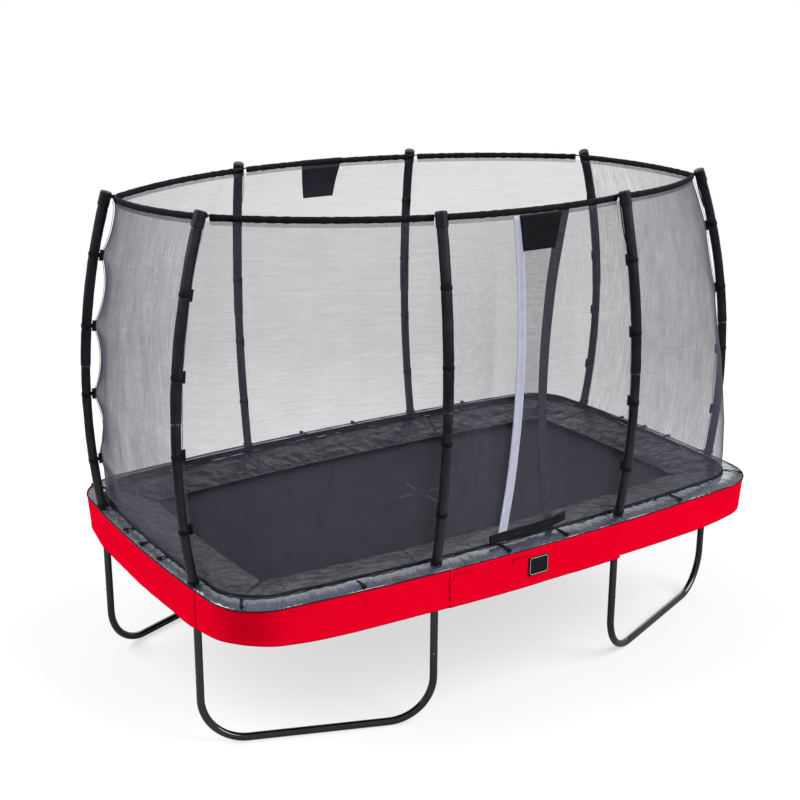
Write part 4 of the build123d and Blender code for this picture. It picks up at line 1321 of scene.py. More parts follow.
@dataclass
class Enclosure:
    """The net, its hem on the top ring, its foot binding, and the split entrance."""

    palette: Palette
    foot: float = 0.9388
    binding_height: float = 0.9425
    hem_height: float = 0.036
    hem_radius: float = 0.0068
    hem_rise: float = 0.009
    inset: float = 0.034
    belly: float = 0.018
    layer_offset: float = 0.009
    layer_lap: float = 0.012
    panel_stand: float = 0.0195
    flag_stand: float = 0.0115
    flat: float = 0.260
    recess_plain: float = 0.006
    recess_deep: dict[str, float] = field(
        default_factory=lambda: {"left_back": 0.045, "right_front": 0.014}
    )
    flaps: dict[int, Flap] = field(
        default_factory=lambda: {
            -1: Flap((0.190, 0.097, 0.160), (0.058, 0.057, 0.048), 0.0155),
            1: Flap((0.165, 0.072, 0.158), (0.055, 0.060, 0.078), 0.0),
        }
    )
    line: Outline = field(default_factory=lambda: PLAN.frame_line.grown(-0.046))

    def top(self, post: Post) -> float:
        """Find the net's upper edge beside a pole."""
        return PLAN.ring_point(post).z - (self.hem_height - self.hem_rise) - 0.0003

    def edge(self, post: Post, level: float) -> Vector:
        """Find the net beside a pole where a tie holds it.

        Args:
            post: The pole's post.
            level: From the net's foot (0) to its top (1).

        Returns:
            The point.
        """
        height = mix(self.foot, self.top(post), level)
        arc = PLAN.pole(post)
        out = PLAN.frame_line.outward(PLAN.post_distance(PLAN.frame_line, post))
        aim = Vector((-out.x, -out.y, 0)) * (1 - level) + PLAN.inward(post) * level
        held = smooth(0.0, 0.08, level) * smooth(0.0, 0.08, 1 - level)
        inset = mix(PLAN.ring_inset, self.inset, held)
        point = arc.at(arc.share_at_height(height)) + aim.normalized() * inset
        return Vector((point.x, point.y, height))

    def recess(self, post: Post, height: float) -> float:
        """Find how far the net's edge stands in from its ties' line.

        Args:
            post: The pole's post.
            height: Where along the pole.

        Returns:
            The distance inwards.
        """
        stops = (self.foot,) + PLAN.tie_heights + (self.top(post),)
        deep = self.recess_deep.get(post.name, self.recess_plain)
        for low, high in zip(stops, stops[1:]):
            if low <= height <= high:
                part = math.sin(math.pi * (height - low) / (high - low))
                return deep * abs(part) ** 0.8 * min(1.0, (high - low) / 0.4)
        return 0.0

    def panel(self, span: Span) -> Panel:
        """Work out once what every point of a panel needs.

        Args:
            span: The panel's posts.

        Returns:
            The panel.
        """
        first, last = (PLAN.post_distance(self.line, post) for post in span)
        if last < first:
            last += 4 * self.line.quarter()
        feet, tops = (tuple(self.edge(post, level) for post in span) for level in (0.0, 1.0))
        return Panel(span, first, last, PLAN.ring(span), feet, tops)

    def sheet_row(self, panel: Panel, shares: Sequence[float], level: float) -> Row:
        """Find one level row of a panel.

        Args:
            panel: The panel.
            shares: Places along the row.
            level: From the net's foot (0) to its top (1).

        Returns:
            The row's points.
        """
        start, end = (self.edge(post, level) for post in panel.span)
        chord = (end - start).normalized()
        out = Vector((chord.y, -chord.x, 0)).normalized()
        row = []
        for share in shares:
            foot = self.line.walk(mix(panel.first, panel.last, share)).to_3d()
            foot_shift = foot - panel.feet[0].lerp(panel.feet[1], share)
            top_shift = panel.ring.at(share) - panel.tops[0].lerp(panel.tops[1], share)
            bulge = 16 * self.belly * share * (1 - share) * level * (1 - level)
            shift = foot_shift * (1 - level) ** 1.6 + top_shift * level**2 + out * bulge
            point = start.lerp(end, share)
            row.append(Vector((point.x + shift.x, point.y + shift.y, point.z)))
        return row

    def settle(self, row: Row, span: Span, shares: Sequence[float], level: float) -> Row:
        """Let a row relax between its ties and pick up soft folds.

        Args:
            row: The row's points.
            span: The panel's posts.
            shares: Places along the row.
            level: From the net's foot (0) to its top (1).

        Returns:
            The settled row.
        """
        width = (row[-1] - row[0]).length
        chord = (row[-1] - row[0]).normalized()
        out = Vector((chord.y, -chord.x, 0))
        settled = []
        for point, share in zip(row, shares):
            moved = point.copy()
            for post, away in ((span[0], share * width), (span[1], (1 - share) * width)):
                pull = self.recess(post, point.z) * math.exp(-((away / 0.20) ** 1.3))
                moved += PLAN.inward(post) * pull
                for tie in PLAN.tie_heights:
                    rise, reach = point.z - tie, math.hypot(away, point.z - tie)
                    fold = math.cos(9 * math.atan2(rise, away + 0.01)) * smooth(0.0, 0.03, away)
                    fold *= 0.004 * math.exp(-reach / 0.10) * min(1.0, reach / 0.03)
                    moved -= PLAN.inward(post) * fold
            free = smooth(0.0, 0.06, level) * smooth(0.0, 0.05, 1 - level)
            free *= smooth(0.0, 0.05, share) * smooth(0.0, 0.05, 1 - share)
            drift = ripple(moved.x * 2.2, moved.y * 2.2, moved.z * 1.1)
            fold = ripple(moved.x * 7, moved.y * 7, moved.z * 1.8 + 9)
            settled.append(moved + out * free * (0.006 * drift + 0.003 * fold))
        return settled

    def flat_y(self, panel: Panel, level: float) -> float:
        """Find where the flat middle of the entrance stands.

        Args:
            panel: The entrance's panel.
            level: From the net's foot (0) to its top (1).

        Returns:
            Its Y.
        """
        reach = self.flat / 2 / PLAN.side_post
        shares = [0.5 - reach, 0.5 + reach]
        foot, top = (
            sum(point.y for point in self.sheet_row(panel, shares, end)) / 2 for end in (0.0, 1.0)
        )
        return mix(foot, top, level)

    def build(self) -> None:
        """Build every piece of the enclosure."""
        names = {
            0: "net_corner_front_left",
            2: "net_corner_front_right",
            3: "net_right",
            4: "net_corner_back_right",
            5: "net_back",
            6: "net_corner_back_left",
            7: "net_left",
        }
        spans = PLAN.spans()
        for index, name in names.items():
            self._panel(name, spans[index])
        self._layer("net_front_left", -1, -1)
        self._layer("net_front_right", 1, 1)
        for span in spans:
            self._hem(span)
        for post in PLAN.posts:
            self._seam(post)
        self._binding()
        self._trim("trim_right", -1, self.palette.pale, "flap_right")
        self._trim("trim_left", 1, self.palette.grey, "flap_left")
        self._patches()

    def _panel(self, name: str, span: Span) -> None:
        """Build one net panel.

        Args:
            name: The CAD node that it stands for.
            span: Its posts.
        """
        shares = marks(1.0, 56)
        panel = self.panel(span)
        rows = []
        for level in marks(1.0, 72):
            row = self.sheet_row(panel, shares, level)
            rows.append(self.settle(row, span, shares, level))
        self._sheet(name, rows)

    def _sheet(self, name: str, rows: list[Row]) -> None:
        """Turn rows into a sheet of net.

        Args:
            name: The CAD node that it stands for.
            rows: Its points.
        """
        middle = rows[len(rows) // 2]
        width = sum((b - a).length for a, b in zip(middle, middle[1:]))
        column = [row[len(row) // 2] for row in rows]
        height = sum((b - a).length for a, b in zip(column, column[1:]))
        draft = Draft()
        draft.grid(rows, marks(width, len(middle) - 1), marks(height, len(rows) - 1))
        gathered = name in ("net_left", "net_right")
        piece = draft.make(f"{name}_mesh", self.palette.end_net if gathered else self.palette.net)
        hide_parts(name)

    def _layer(self, name: str, side: int, layer: int) -> None:
        """Build one layer of the split entrance.

        Args:
            name: The CAD node that it stands for.
            side: -1 for the left pole, 1 for the right one.
            layer: 1 for the outer layer, -1 for the inner one.
        """
        flap, panel, rows = self.flaps[-side], self.panel(ENTRANCE), []
        for level in marks(1.0, 60):
            reach = 0.5 + (bend(flap.away, level) + self.layer_lap) / (2 * PLAN.side_post)
            shares = marks(reach, 40)
            if side > 0:
                shares = [1 - share for share in reversed(shares)]
            row = self.sheet_row(panel, shares, level)
            flat_y = self.flat_y(panel, level)
            for point in row:
                away = (abs(point.x) - self.flat) / (PLAN.side_post - self.flat)
                fade = min(1.0, max(0.0, away))
                point.y = mix(flat_y, point.y, fade) - layer * self.layer_offset * (1 - fade) ** 2
                free = smooth(0.0, 0.3, point.z - self.foot) * smooth(0.0, 0.2, 2.74 - point.z)
                point.y += free * 0.0025 * ripple(point.x * 5, point.z * 1.6, layer * 5.0)
            rows.append(row)
        self._sheet(name, rows)

    def _hem(self, span: Span) -> None:
        """Build the gathered hem that the ring rod runs through.

        Args:
            span: The two posts.
        """
        arc = PLAN.ring(span)
        count = 260
        gap = (0.016 if min(post.sign_y for post in span) < 0 else 0.032) / arc.length
        drop = Vector((0, 0, self.hem_height / 2 - self.hem_rise))
        path = [arc.at(mix(gap, 1 - gap, i / (count - 1))) - drop for i in range(count)]
        run = arc.length * (1 - 2 * gap)

        def radius(index: int, angle: float) -> float:
            """Find the hem's radius, gathered more tightly near its ends.

            Args:
                index: Which point of the path.
                angle: Where round it.

            Returns:
                The radius.
            """
            along = run * index / (count - 1)
            near_end = math.exp(-min(along, run - along) / 0.07)
            pleats = math.sin(along * 2 * math.pi / 0.016 + 2 * math.sin(along * 17))
            ruffle = ripple(along * 28, math.cos(angle) + 3 * span[0].sign_x, span[0].sign_y * 5)
            pleats *= (0.10 + 0.22 * near_end) * abs(math.cos(angle))
            return self.hem_radius * (1 + pleats + 0.1 * ruffle)

        draft = Draft()
        draft.tube(path, radius, around=16, aspect=2.55)
        piece = draft.make(f"hem_{span[0].name}_to_{span[1].name}", self.palette.webbing)
        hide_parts("net_hems")
        rows = []
        for level in range(4):
            fall = self.hem_height / 2 - 0.004 + 0.008 * level
            waves = [0.0012 * ripple(i * 0.3, level) for i in range(count)]
            rows.append([point + Vector((0, 0, wave - fall)) for point, wave in zip(path, waves)])
        turned = Draft()
        turned.grid(rows, marks(run, count - 1), [0.008 * i for i in range(4)])
        piece = turned.make(f"hem_turning_{span[0].name}", self.palette.hem_net)

    def _seam(self, post: Post) -> None:
        """Build the tape down the net beside a pole, which the ties are sewn to.

        Args:
            post: The pole's post.
        """
        path = []
        for level in marks(1.0, 89):
            point = self.edge(post, level)
            path.append(point + PLAN.inward(post) * self.recess(post, point.z))
        draft = Draft()
        side = Vector((post.sign_x, post.sign_y, 0.0)).normalized()
        size = 0.0024 if post.name in self.recess_deep else 0.0010
        draft.tube(path, lambda index, angle: size, around=8, aspect=0.5, up=side)
        piece = draft.make(f"net_tape_{post.name}", self.palette.thread)

    def _binding(self) -> None:
        """Build the binding round the net's foot, and a dark tape above it that grows taller
        towards the back: painted shade over the far rim.
        """
        line, count = PLAN.frame_line.grown(-0.048), 620
        total = 4 * line.quarter()
        path = []
        for point in line.around(count):
            wave = 0.0015 * ripple(point.x * 6, point.y * 6)
            path.append(Vector((point.x, point.y, self.binding_height + wave)))
        path.append(path[0])
        # Painted shade: the dark tape is 6 mm tall at the front and 24 mm at the back, covering the
        # far rim where it lies in shade
        tape_and_shade_heights = [0.006 + 0.018 * smooth(-0.6, 0.9, point.y) for point in path]
        rows = [
            [point + Vector((0, 0, tall * part / 3)) for point, tall in zip(path, tape_and_shade_heights)]
            for part in range(4)
        ]
        tape = Draft()
        tape.grid(rows, marks(total, count), [0.006 * i for i in range(4)])
        piece = tape.make("net_foot_tape", self.palette.webbing)
        path.pop()
        draft = Draft()
        draft.tube(
            path,
            lambda index, angle: 0.0105 * (1 + 0.12 * ripple(index * 0.2, math.cos(angle))),
            around=12,
            aspect=0.55,
            closed=True,
        )
        piece = draft.make("net_foot_binding", self.palette.webbing)
        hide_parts("net_border")

    def _trim(
        self, name: str, side: int, material: bpy.types.Material, body: str
    ) -> None:
        """Build one edge trim of the entrance.

        Args:
            name: The CAD node that it stands for.
            side: Which way it stands from the middle.
            material: Its cloth.
            body: The CAD body that it rides on.
        """
        panel = self.panel(ENTRANCE)
        low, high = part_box(name)
        top = sum(self.top(post) for post in ENTRANCE) / 2
        rows, vs, count = [], [], 64
        flap = self.flaps[side]
        for step in range(count + 1):
            z = mix(low.z, high.z, step / count)
            level = (z - self.foot) / (top - self.foot)
            x = side * bend(flap.away, level)
            y = self.flat_y(panel, level) - flap.offset
            half = bend(flap.width, level) / 2
            row = []
            for across in range(9):
                part = across / 4 - 1
                curl = 0.0016 * part * part + 0.0014 * ripple(z * 3 + side, part)
                edge = x + part * half + 0.0015 * ripple(z * 4, side)
                row.append(Vector((edge, y - curl * (1 if flap.offset else 0.5), z)))
            rows.append(row)
            vs.append(z)
        draft = Draft()
        draft.grid(rows, marks(flap.width[1], 8), vs)
        piece = draft.make(f"{name}_cloth", material, body)
        thicken(piece, 0.0016)
        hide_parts(name)

    def _patches(self) -> None:
        """Build the plain cloth panels: over the entrance, at its threshold, and at the back."""
        for name, shift, wide, narrow, slack in (
            ("entrance_panel", -0.007, 0.275, 0.208, 0.0015),
            ("entrance_threshold", -0.005, 0.530, 0.530, 0.004),
            ("rear_flag", -0.051, 0.292, 0.216, 0.003),
        ):
            low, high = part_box(name)
            rows, count = [], 18
            outward = -1 if low.y < 0 else 1
            span = ENTRANCE if outward < 0 else REAR
            panel = self.panel(span)
            tops = sum(self.top(post) for post in span) / 2
            for step in range(count + 1):
                z = mix(low.z, high.z, step / count)
                level = min(1.0, (z - self.foot) / (tops - self.foot))
                if outward < 0:
                    base = self.flat_y(panel, level) - self.panel_stand
                else:
                    base = self.sheet_row(panel, [0.5], level)[0].y + self.flag_stand
                half = mix(narrow, wide, step / count) / 2
                row = []
                for across in range(25):
                    part = across / 12 - 1
                    wave = slack * ripple(part * 2.2 + shift * 90, step * 0.11, high.z)
                    hang = 0.0
                    if name == "entrance_threshold":
                        hang = (-0.010 if part < 0 else 0.024) * abs(part) ** 2 - 0.006
                    row.append(Vector((shift + part * half, base + outward * abs(wave), z + hang)))
                rows.append(row)
            size = (wide, high.z - low.z)
            draft = Draft()
            draft.grid(rows, marks(wide, 24), marks(size[1], count))
            cloth = self.palette.faded if "threshold" in name else self.palette.black
            piece = draft.make(f"{name}_cloth", cloth)
            thicken(piece, 0.0018)
            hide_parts(name)


@dataclass
class Fittings:
    """Ties from the net to the poles, straps over the pad's rim, and wraps at the poles' feet."""

    palette: Palette
    enclosure: Enclosure
    lower_loop: float = 0.0268
    upper_loop: float = 0.0293
    head_reach: float = 0.0305
    wrap_radius: float = 0.0288
    wrap_height: float = 0.955
    strap_height: float = 0.9395
    strap_width: float = 0.015

    def build(self) -> None:
        """Build the fittings."""
        for post in PLAN.posts:
            for height in PLAN.tie_heights:
                self._tie(post, height)
            self._wrap(post)
            self._head_strap(post)
        self._straps()

    def _tie(self, post: Post, height: float) -> None:
        """Build one tie: a loop round the sleeve, a tab to the net and its loose end.

        Args:
            post: The pole's post.
            height: Where it is.
        """
        arc = PLAN.pole(post)
        share = arc.share_at_height(height)
        centre, along = arc.at(share), arc.along(share)
        size = self.lower_loop if height < PLAN.sleeve_joint else self.upper_loop
        level = (height - self.enclosure.foot) / (self.enclosure.top(post) - self.enclosure.foot)
        seam = self.enclosure.edge(post, level)
        aim = (seam - centre).normalized()
        aim = (aim - along * aim.dot(along)).normalized()
        side = along.cross(aim)
        path = []
        for step in range(40):
            angle = 2 * math.pi * step / 40
            path.append(centre + (aim * math.cos(angle) + side * math.sin(angle)) * size)
        draft = Draft()
        draft.tube(path, lambda i, a: 0.0014, around=8, aspect=8.5, up=along, closed=True)
        tab = seam - centre
        middle = centre + aim * (size + tab.length) / 2
        draft.block(middle, aim * ((tab.length - size) / 2 + 0.003), side * 0.0018, along * 0.012)
        patch = centre + aim * (tab.length + 0.008)
        draft.block(patch, aim * 0.0115, side * 0.0014, along * 0.031)
        draft.block(patch + side * 0.0018, aim * 0.0095, side * 0.0010, along * 0.012)
        knot = centre + aim * (size + 0.006)
        draft.block(knot, aim * 0.006, side * 0.0075, along * 0.0085)
        name = f"tie_{post.name}_{round(height * 1000)}"
        piece = draft.make(name, self.palette.webbing, soft=False)
        bevel = piece.modifiers.new("Soft edge", "BEVEL")
        bevel.width = 0.0008
        bevel.segments = 2
        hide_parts("net_ties")

    def _head_strap(self, post: Post) -> None:
        """Build the loose strap that hangs from a pole's head beside its sleeve.

        Args:
            post: The pole's post.
        """
        arc = PLAN.pole(post)
        rows, count = [], 24
        for step in range(count + 1):
            top, foot = PLAN.ring_point(post).z + 0.004, PLAN.tie_heights[-1] + 0.105
            height = mix(top, foot, step / count)
            share = arc.share_at_height(height)
            along = arc.along(share)
            lean = (1.0, 0.4) if post.on_side else (0.4, 1.0)
            aim = Vector((-post.sign_x * lean[0], -post.sign_y * lean[1], 0.0))
            aim = (aim - along * aim.dot(along)).normalized()
            side = along.cross(aim)
            slack = 0.006 * math.sin(math.pi * step / count)
            slack += 0.002 * ripple(height * 9, post.sign_x)
            centre = arc.at(share) + aim * (self.head_reach + slack)
            rows.append([centre + side * offset for offset in (-0.006, -0.002, 0.002, 0.006)])
        draft = Draft()
        draft.grid(rows, [0.004 * i for i in range(4)], [0.012 * i for i in range(count + 1)])
        piece = draft.make(f"head_strap_{post.name}", self.palette.webbing)
        thicken(piece, 0.0018)

    def _wrap(self, post: Post) -> None:
        """Build the elastic wound round a pole's foot, with its knot and two ends.

        Args:
            post: The pole's post.
        """
        arc = PLAN.pole(post)
        share = arc.share_at_height(self.wrap_height)
        centre, along = arc.at(share), arc.along(share)
        aim = PLAN.inward(post)
        side = along.cross(aim).normalized()
        draft = Draft()
        path = []
        for step in range(70):
            angle = 2 * math.pi * 2.3 * step / 69
            wobble = 0.003 * math.sin(angle * 1.3 + post.sign_x)
            turn = (aim * math.cos(angle) + side * math.sin(angle)) * self.wrap_radius
            path.append(centre + turn + along * (mix(-0.010, 0.012, step / 69) + wobble))
        draft.tube(path, lambda i, a: 0.0032, around=8, up=along)
        for sign in (-1, 1):
            ends = []
            for step in range(14):
                part = step / 13
                flat = aim * (0.033 + 0.022 * part) + side * sign * (0.006 + 0.050 * part)
                z = self.wrap_height + 0.001 - 0.012 * part + 0.006 * math.sin(part * 3.1)
                ends.append(Vector((centre.x + flat.x, centre.y + flat.y, z)))
            draft.tube(ends, lambda i, a: 0.0030, around=8)
        piece = draft.make(f"foot_wrap_{post.name}", self.palette.webbing)

    def _straps(self) -> None:
        """Build the straps that hold the pad's rim, where the CAD model has them."""
        places = [(x, None) for x in (-1.1, -0.2, 0.2, 1.1)]
        places += [(None, y) for y in (-0.228, 0.0, 0.228)]
        number = 0
        for sign in (-1, 1):
            for x, y in places:
                if y is None:
                    inner = Vector((x, sign * (PLAN.frame_line.side_y(x) - 0.034), 0))
                    outer = Vector((x, sign * (PLAN.cover_line.side_y(x) - 0.006), 0))
                else:
                    inner = Vector((sign * (PLAN.frame_line.end_x(y) - 0.034), y, 0))
                    outer = Vector((sign * (PLAN.cover_line.end_x(y) - 0.006), y, 0))
                number += 1
                self._strap(f"rim_strap_{number}", inner, outer)
        for section in CORNERS:
            inner = PLAN.frame_line.grown(-0.034).at(section, 0.5).to_3d()
            outer = PLAN.cover_line.grown(-0.006).at(section, 0.5).to_3d()
            self._strap(f"corner_strap_{section.name.lower()}", inner, outer)

    def _strap(self, name: str, inner: Vector, outer: Vector) -> None:
        """Build one strap, arched over the rim.

        Args:
            name: Its name.
            inner: Where it starts, in plan.
            outer: Where it ends, in plan.
        """
        across = (outer - inner).normalized()
        side = Vector((-across.y, across.x, 0))
        rows = []
        for step in range(15):
            part = step / 14
            lift = self.strap_height + 0.0075 * math.sin(math.pi * part) ** 0.6
            point = inner.lerp(outer, part)
            offsets = [(j / 4 - 0.5) * self.strap_width for j in range(5)]
            rows.append([Vector((point.x, point.y, lift)) + side * offset for offset in offsets])
        length = (outer - inner).length
        draft = Draft()
        draft.grid(rows, [0.004 * j for j in range(5)], marks(length, 14))
        knot = outer.to_3d() - across.to_3d() * 0.016 + Vector((0, 0, self.strap_height + 0.0045))
        draft.block(knot, across.to_3d() * 0.010, side * 0.009, Vector((0, 0, 0.0035)))
        piece = draft.make(name, self.palette.webbing)
        thicken(piece, 0.0018, 1.0)
        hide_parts("net_straps")


@dataclass
class SafetyPad:
    """The padded cover: four mitred lengths inside the frame and a glossy rolled rim outside it."""

    palette: Palette
    inner_inset: float = 0.350
    rim_inset: float = 0.044
    inner_height: float = 0.884
    ridge_height: float = 0.9335
    thickness: float = 0.020
    rim_height: float = 0.9235
    rim_under: float = 0.9145
    piping: float = 0.0034
    piping_height: float = 0.9264

    def build(self) -> None:
        """Build the pad lengths, their seams and the rim."""
        around = list(Section)
        for index in (0, 2, 4, 6):
            self._length(around[index - 1], around[index], around[index + 1])
        self._rim()
        self._piping()

    def mitre(self, inset: float) -> Vector:
        """Find where the side and end arcs, set in from the frame line, would meet at +X +Y."""
        return replace(PLAN.frame_line.grown(-inset), corner_radius=0.0).corner_centre()

    def _outer(self, before: Section, section: Section, after: Section, count: int) -> list[Vector]:
        """Walk the outer edge of a pad length.

        Args:
            before: The corner before it.
            section: Its side.
            after: The corner after it.
            count: How many points.

        Returns:
            Points in plan, from mitre to mitre.
        """
        line = PLAN.frame_line.grown(-self.rim_inset)
        lengths = (line.length(before) / 2, line.length(section), line.length(after) / 2)
        points = []
        for step in range(count):
            rest = sum(lengths) * step / (count - 1)
            if rest <= lengths[0]:
                points.append(line.at(before, 0.5 + rest / lengths[0] / 2))
            elif rest <= lengths[0] + lengths[1]:
                points.append(line.at(section, (rest - lengths[0]) / lengths[1]))
            else:
                share = (rest - lengths[0] - lengths[1]) / lengths[2] / 2
                points.append(line.at(after, min(0.5, share)))
        return points

    def _inner(self, section: Section, count: int) -> list[Vector]:
        """Walk the inner edge of a pad length.

        Args:
            section: Its side.
            count: How many points.

        Returns:
            Points in plan, from mitre to mitre.
        """
        line, tip = PLAN.frame_line.grown(-self.inner_inset), self.mitre(self.inner_inset)
        points = []
        for step in range(count):
            part = 2 * step / (count - 1) - 1
            if section in (Section.FRONT, Section.BACK):
                point = Vector((part * tip.x, -line.side_y(part * tip.x)))
            else:
                point = Vector((line.end_x(part * tip.y), part * tip.y))
            points.append(point if section in (Section.FRONT, Section.RIGHT) else -point)
        return points

    def _length(self, before: Section, section: Section, after: Section) -> None:
        """Build one pad length.

        Args:
            before: The corner before it.
            section: Its side.
            after: The corner after it.
        """
        long = section in (Section.FRONT, Section.BACK)
        count = 420 if long else 230
        outer, inner = self._outer(before, section, after, count), self._inner(section, count)
        run = sum((b - a).length for a, b in zip(inner, inner[1:]))
        seams = (-0.62, 0.62) if long else ()
        rows, vs = [], []
        for index, (low, high) in enumerate(zip(inner, outer)):
            along = run * index / (count - 1)
            width = (high - low).length
            seam = min([abs(low.x - place) for place in seams] + [9.0])
            tip = min(along, run - along)
            row = []
            for step in range(28):
                part = step / 27
                plan = low.lerp(high, part)
                slope = mix(self.inner_height, self.ridge_height, min(1.0, part / 0.93))
                crown = 0.008 * math.sin(math.pi * part) ** 0.55
                folds = 0.0050 * ripple(plan.x * 5.5, plan.y * 5.5, 2.0)
                folds += 0.0030 * ripple(plan.x * 14, plan.y * 14, 5.0)
                pull = math.exp(-part * width / 0.05) + math.exp(-(1 - part) * width / 0.05)
                folds += 0.0045 * pull * ripple(along * 15, 0.6 * part, 7.0 + count)
                near_seam = math.exp(-min(seam, tip) / 0.05)
                folds += 0.0045 * near_seam * ripple(part * 9, along * 3, 3.0)
                pinch = 0.010 * math.exp(-((seam / 0.006) ** 2))
                pinch += 0.006 * math.exp(-((tip / 0.008) ** 2))
                rise = slope + (crown + folds) * math.sin(math.pi * part) ** 0.35 - pinch
                row.append(Vector((plan.x, plan.y, rise)))
            for step in range(10):
                part = 1 - step / 10
                plan = low.lerp(high, part)
                slope = mix(self.inner_height, self.ridge_height, min(1.0, part / 0.93))
                under = self.thickness * math.sin(math.pi * part) ** 0.4
                row.append(Vector((plan.x, plan.y, slope - max(0.012, under))))
            rows.append(row)
            vs.append(along)
        us = [0.3 * i / 27 for i in range(28)] + [0.3 + 0.3 * i / 11 for i in range(1, 12)]
        draft = Draft()
        draft.grid(rows, us, vs, closed=True)
        draft.cap(rows[0])
        draft.cap(rows[-1], flip=True)
        name = section.name.lower()
        piece = draft.make(f"pad_{name}_cover", self.palette.pad)
        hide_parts(f"pad_{name}")

    def _rim(self) -> None:
        """Build the rolled rim between the net's foot and the skirt."""
        near, far = PLAN.frame_line.grown(-self.rim_inset - 0.016), PLAN.cover_line.grown(-0.0035)
        rows, vs, run = [], [0.0], 0.0
        for section in Section:
            steps = max(40, int(near.length(section) / 0.006))
            for step in range(steps):
                share = step / steps
                a, b = near.at(section, share), far.at(section, share)
                if rows:
                    run += (a - rows[-1][0].xy).length
                    vs.append(run)
                row = []
                for index in range(21):
                    part = index / 20
                    plan = a.lerp(b, part)
                    puff = 0.018 * (1 - (abs(part - 0.42) / 0.58) ** (2.6 if part > 0.42 else 2.0))
                    swell = math.sin(math.pi * min(1.0, part * 1.02)) ** 0.6
                    ruffle = 0.0030 * ripple(plan.x * 6, plan.y * 6, 1.0)
                    ruffle += 0.0026 * ripple(run * 26, part * 1.2, 4.0) * swell
                    ruffle += 0.0030 * ripple(run * 62, part * 1.4, 9.0) * swell * part**2
                    lift = puff + ruffle * (part < 0.97)
                    row.append(Vector((plan.x, plan.y, self.rim_height + lift)))
                for index in range(5):
                    plan = b.lerp(a, (index + 0.5) / 5)
                    row.append(Vector((plan.x, plan.y, self.rim_under)))
                rows.append(row)
        rows.append(rows[0])
        vs.append(run + 0.01)
        us = [0.007 * i for i in range(27)]
        draft = Draft()
        draft.grid(rows, us, vs, closed=True)
        piece = draft.make("pad_rim_roll", self.palette.band)

    def _piping(self) -> None:
        """Build the piping along the rim's edge, the mitres and the inner edge."""
        path = []
        for point in PLAN.cover_line.grown(-0.002).around(700):
            height = self.piping_height + 0.0008 * ripple(point.x * 8, point.y * 8)
            path.append(Vector((point.x, point.y, height)))
        draft = Draft()
        draft.tube(path, lambda index, angle: self.piping, around=10, closed=True)
        inner, outer = self.mitre(self.inner_inset), PLAN.frame_line.grown(-self.rim_inset)
        for section, (sign_x, sign_y) in CORNERS.items():
            low = Vector((sign_x * inner.x, sign_y * inner.y, self.inner_height + 0.003))
            high = outer.at(section, 0.5).to_3d() + Vector((0, 0, self.ridge_height + 0.002))
            seam = [low.lerp(high, i / 30) for i in range(31)]
            for i, point in enumerate(seam):
                point.z += 0.0012 * ripple(i * 0.4, low.x)
            draft.tube(seam, lambda index, angle: self.piping, around=8)
        piece = draft.make("pad_piping", self.palette.webbing)


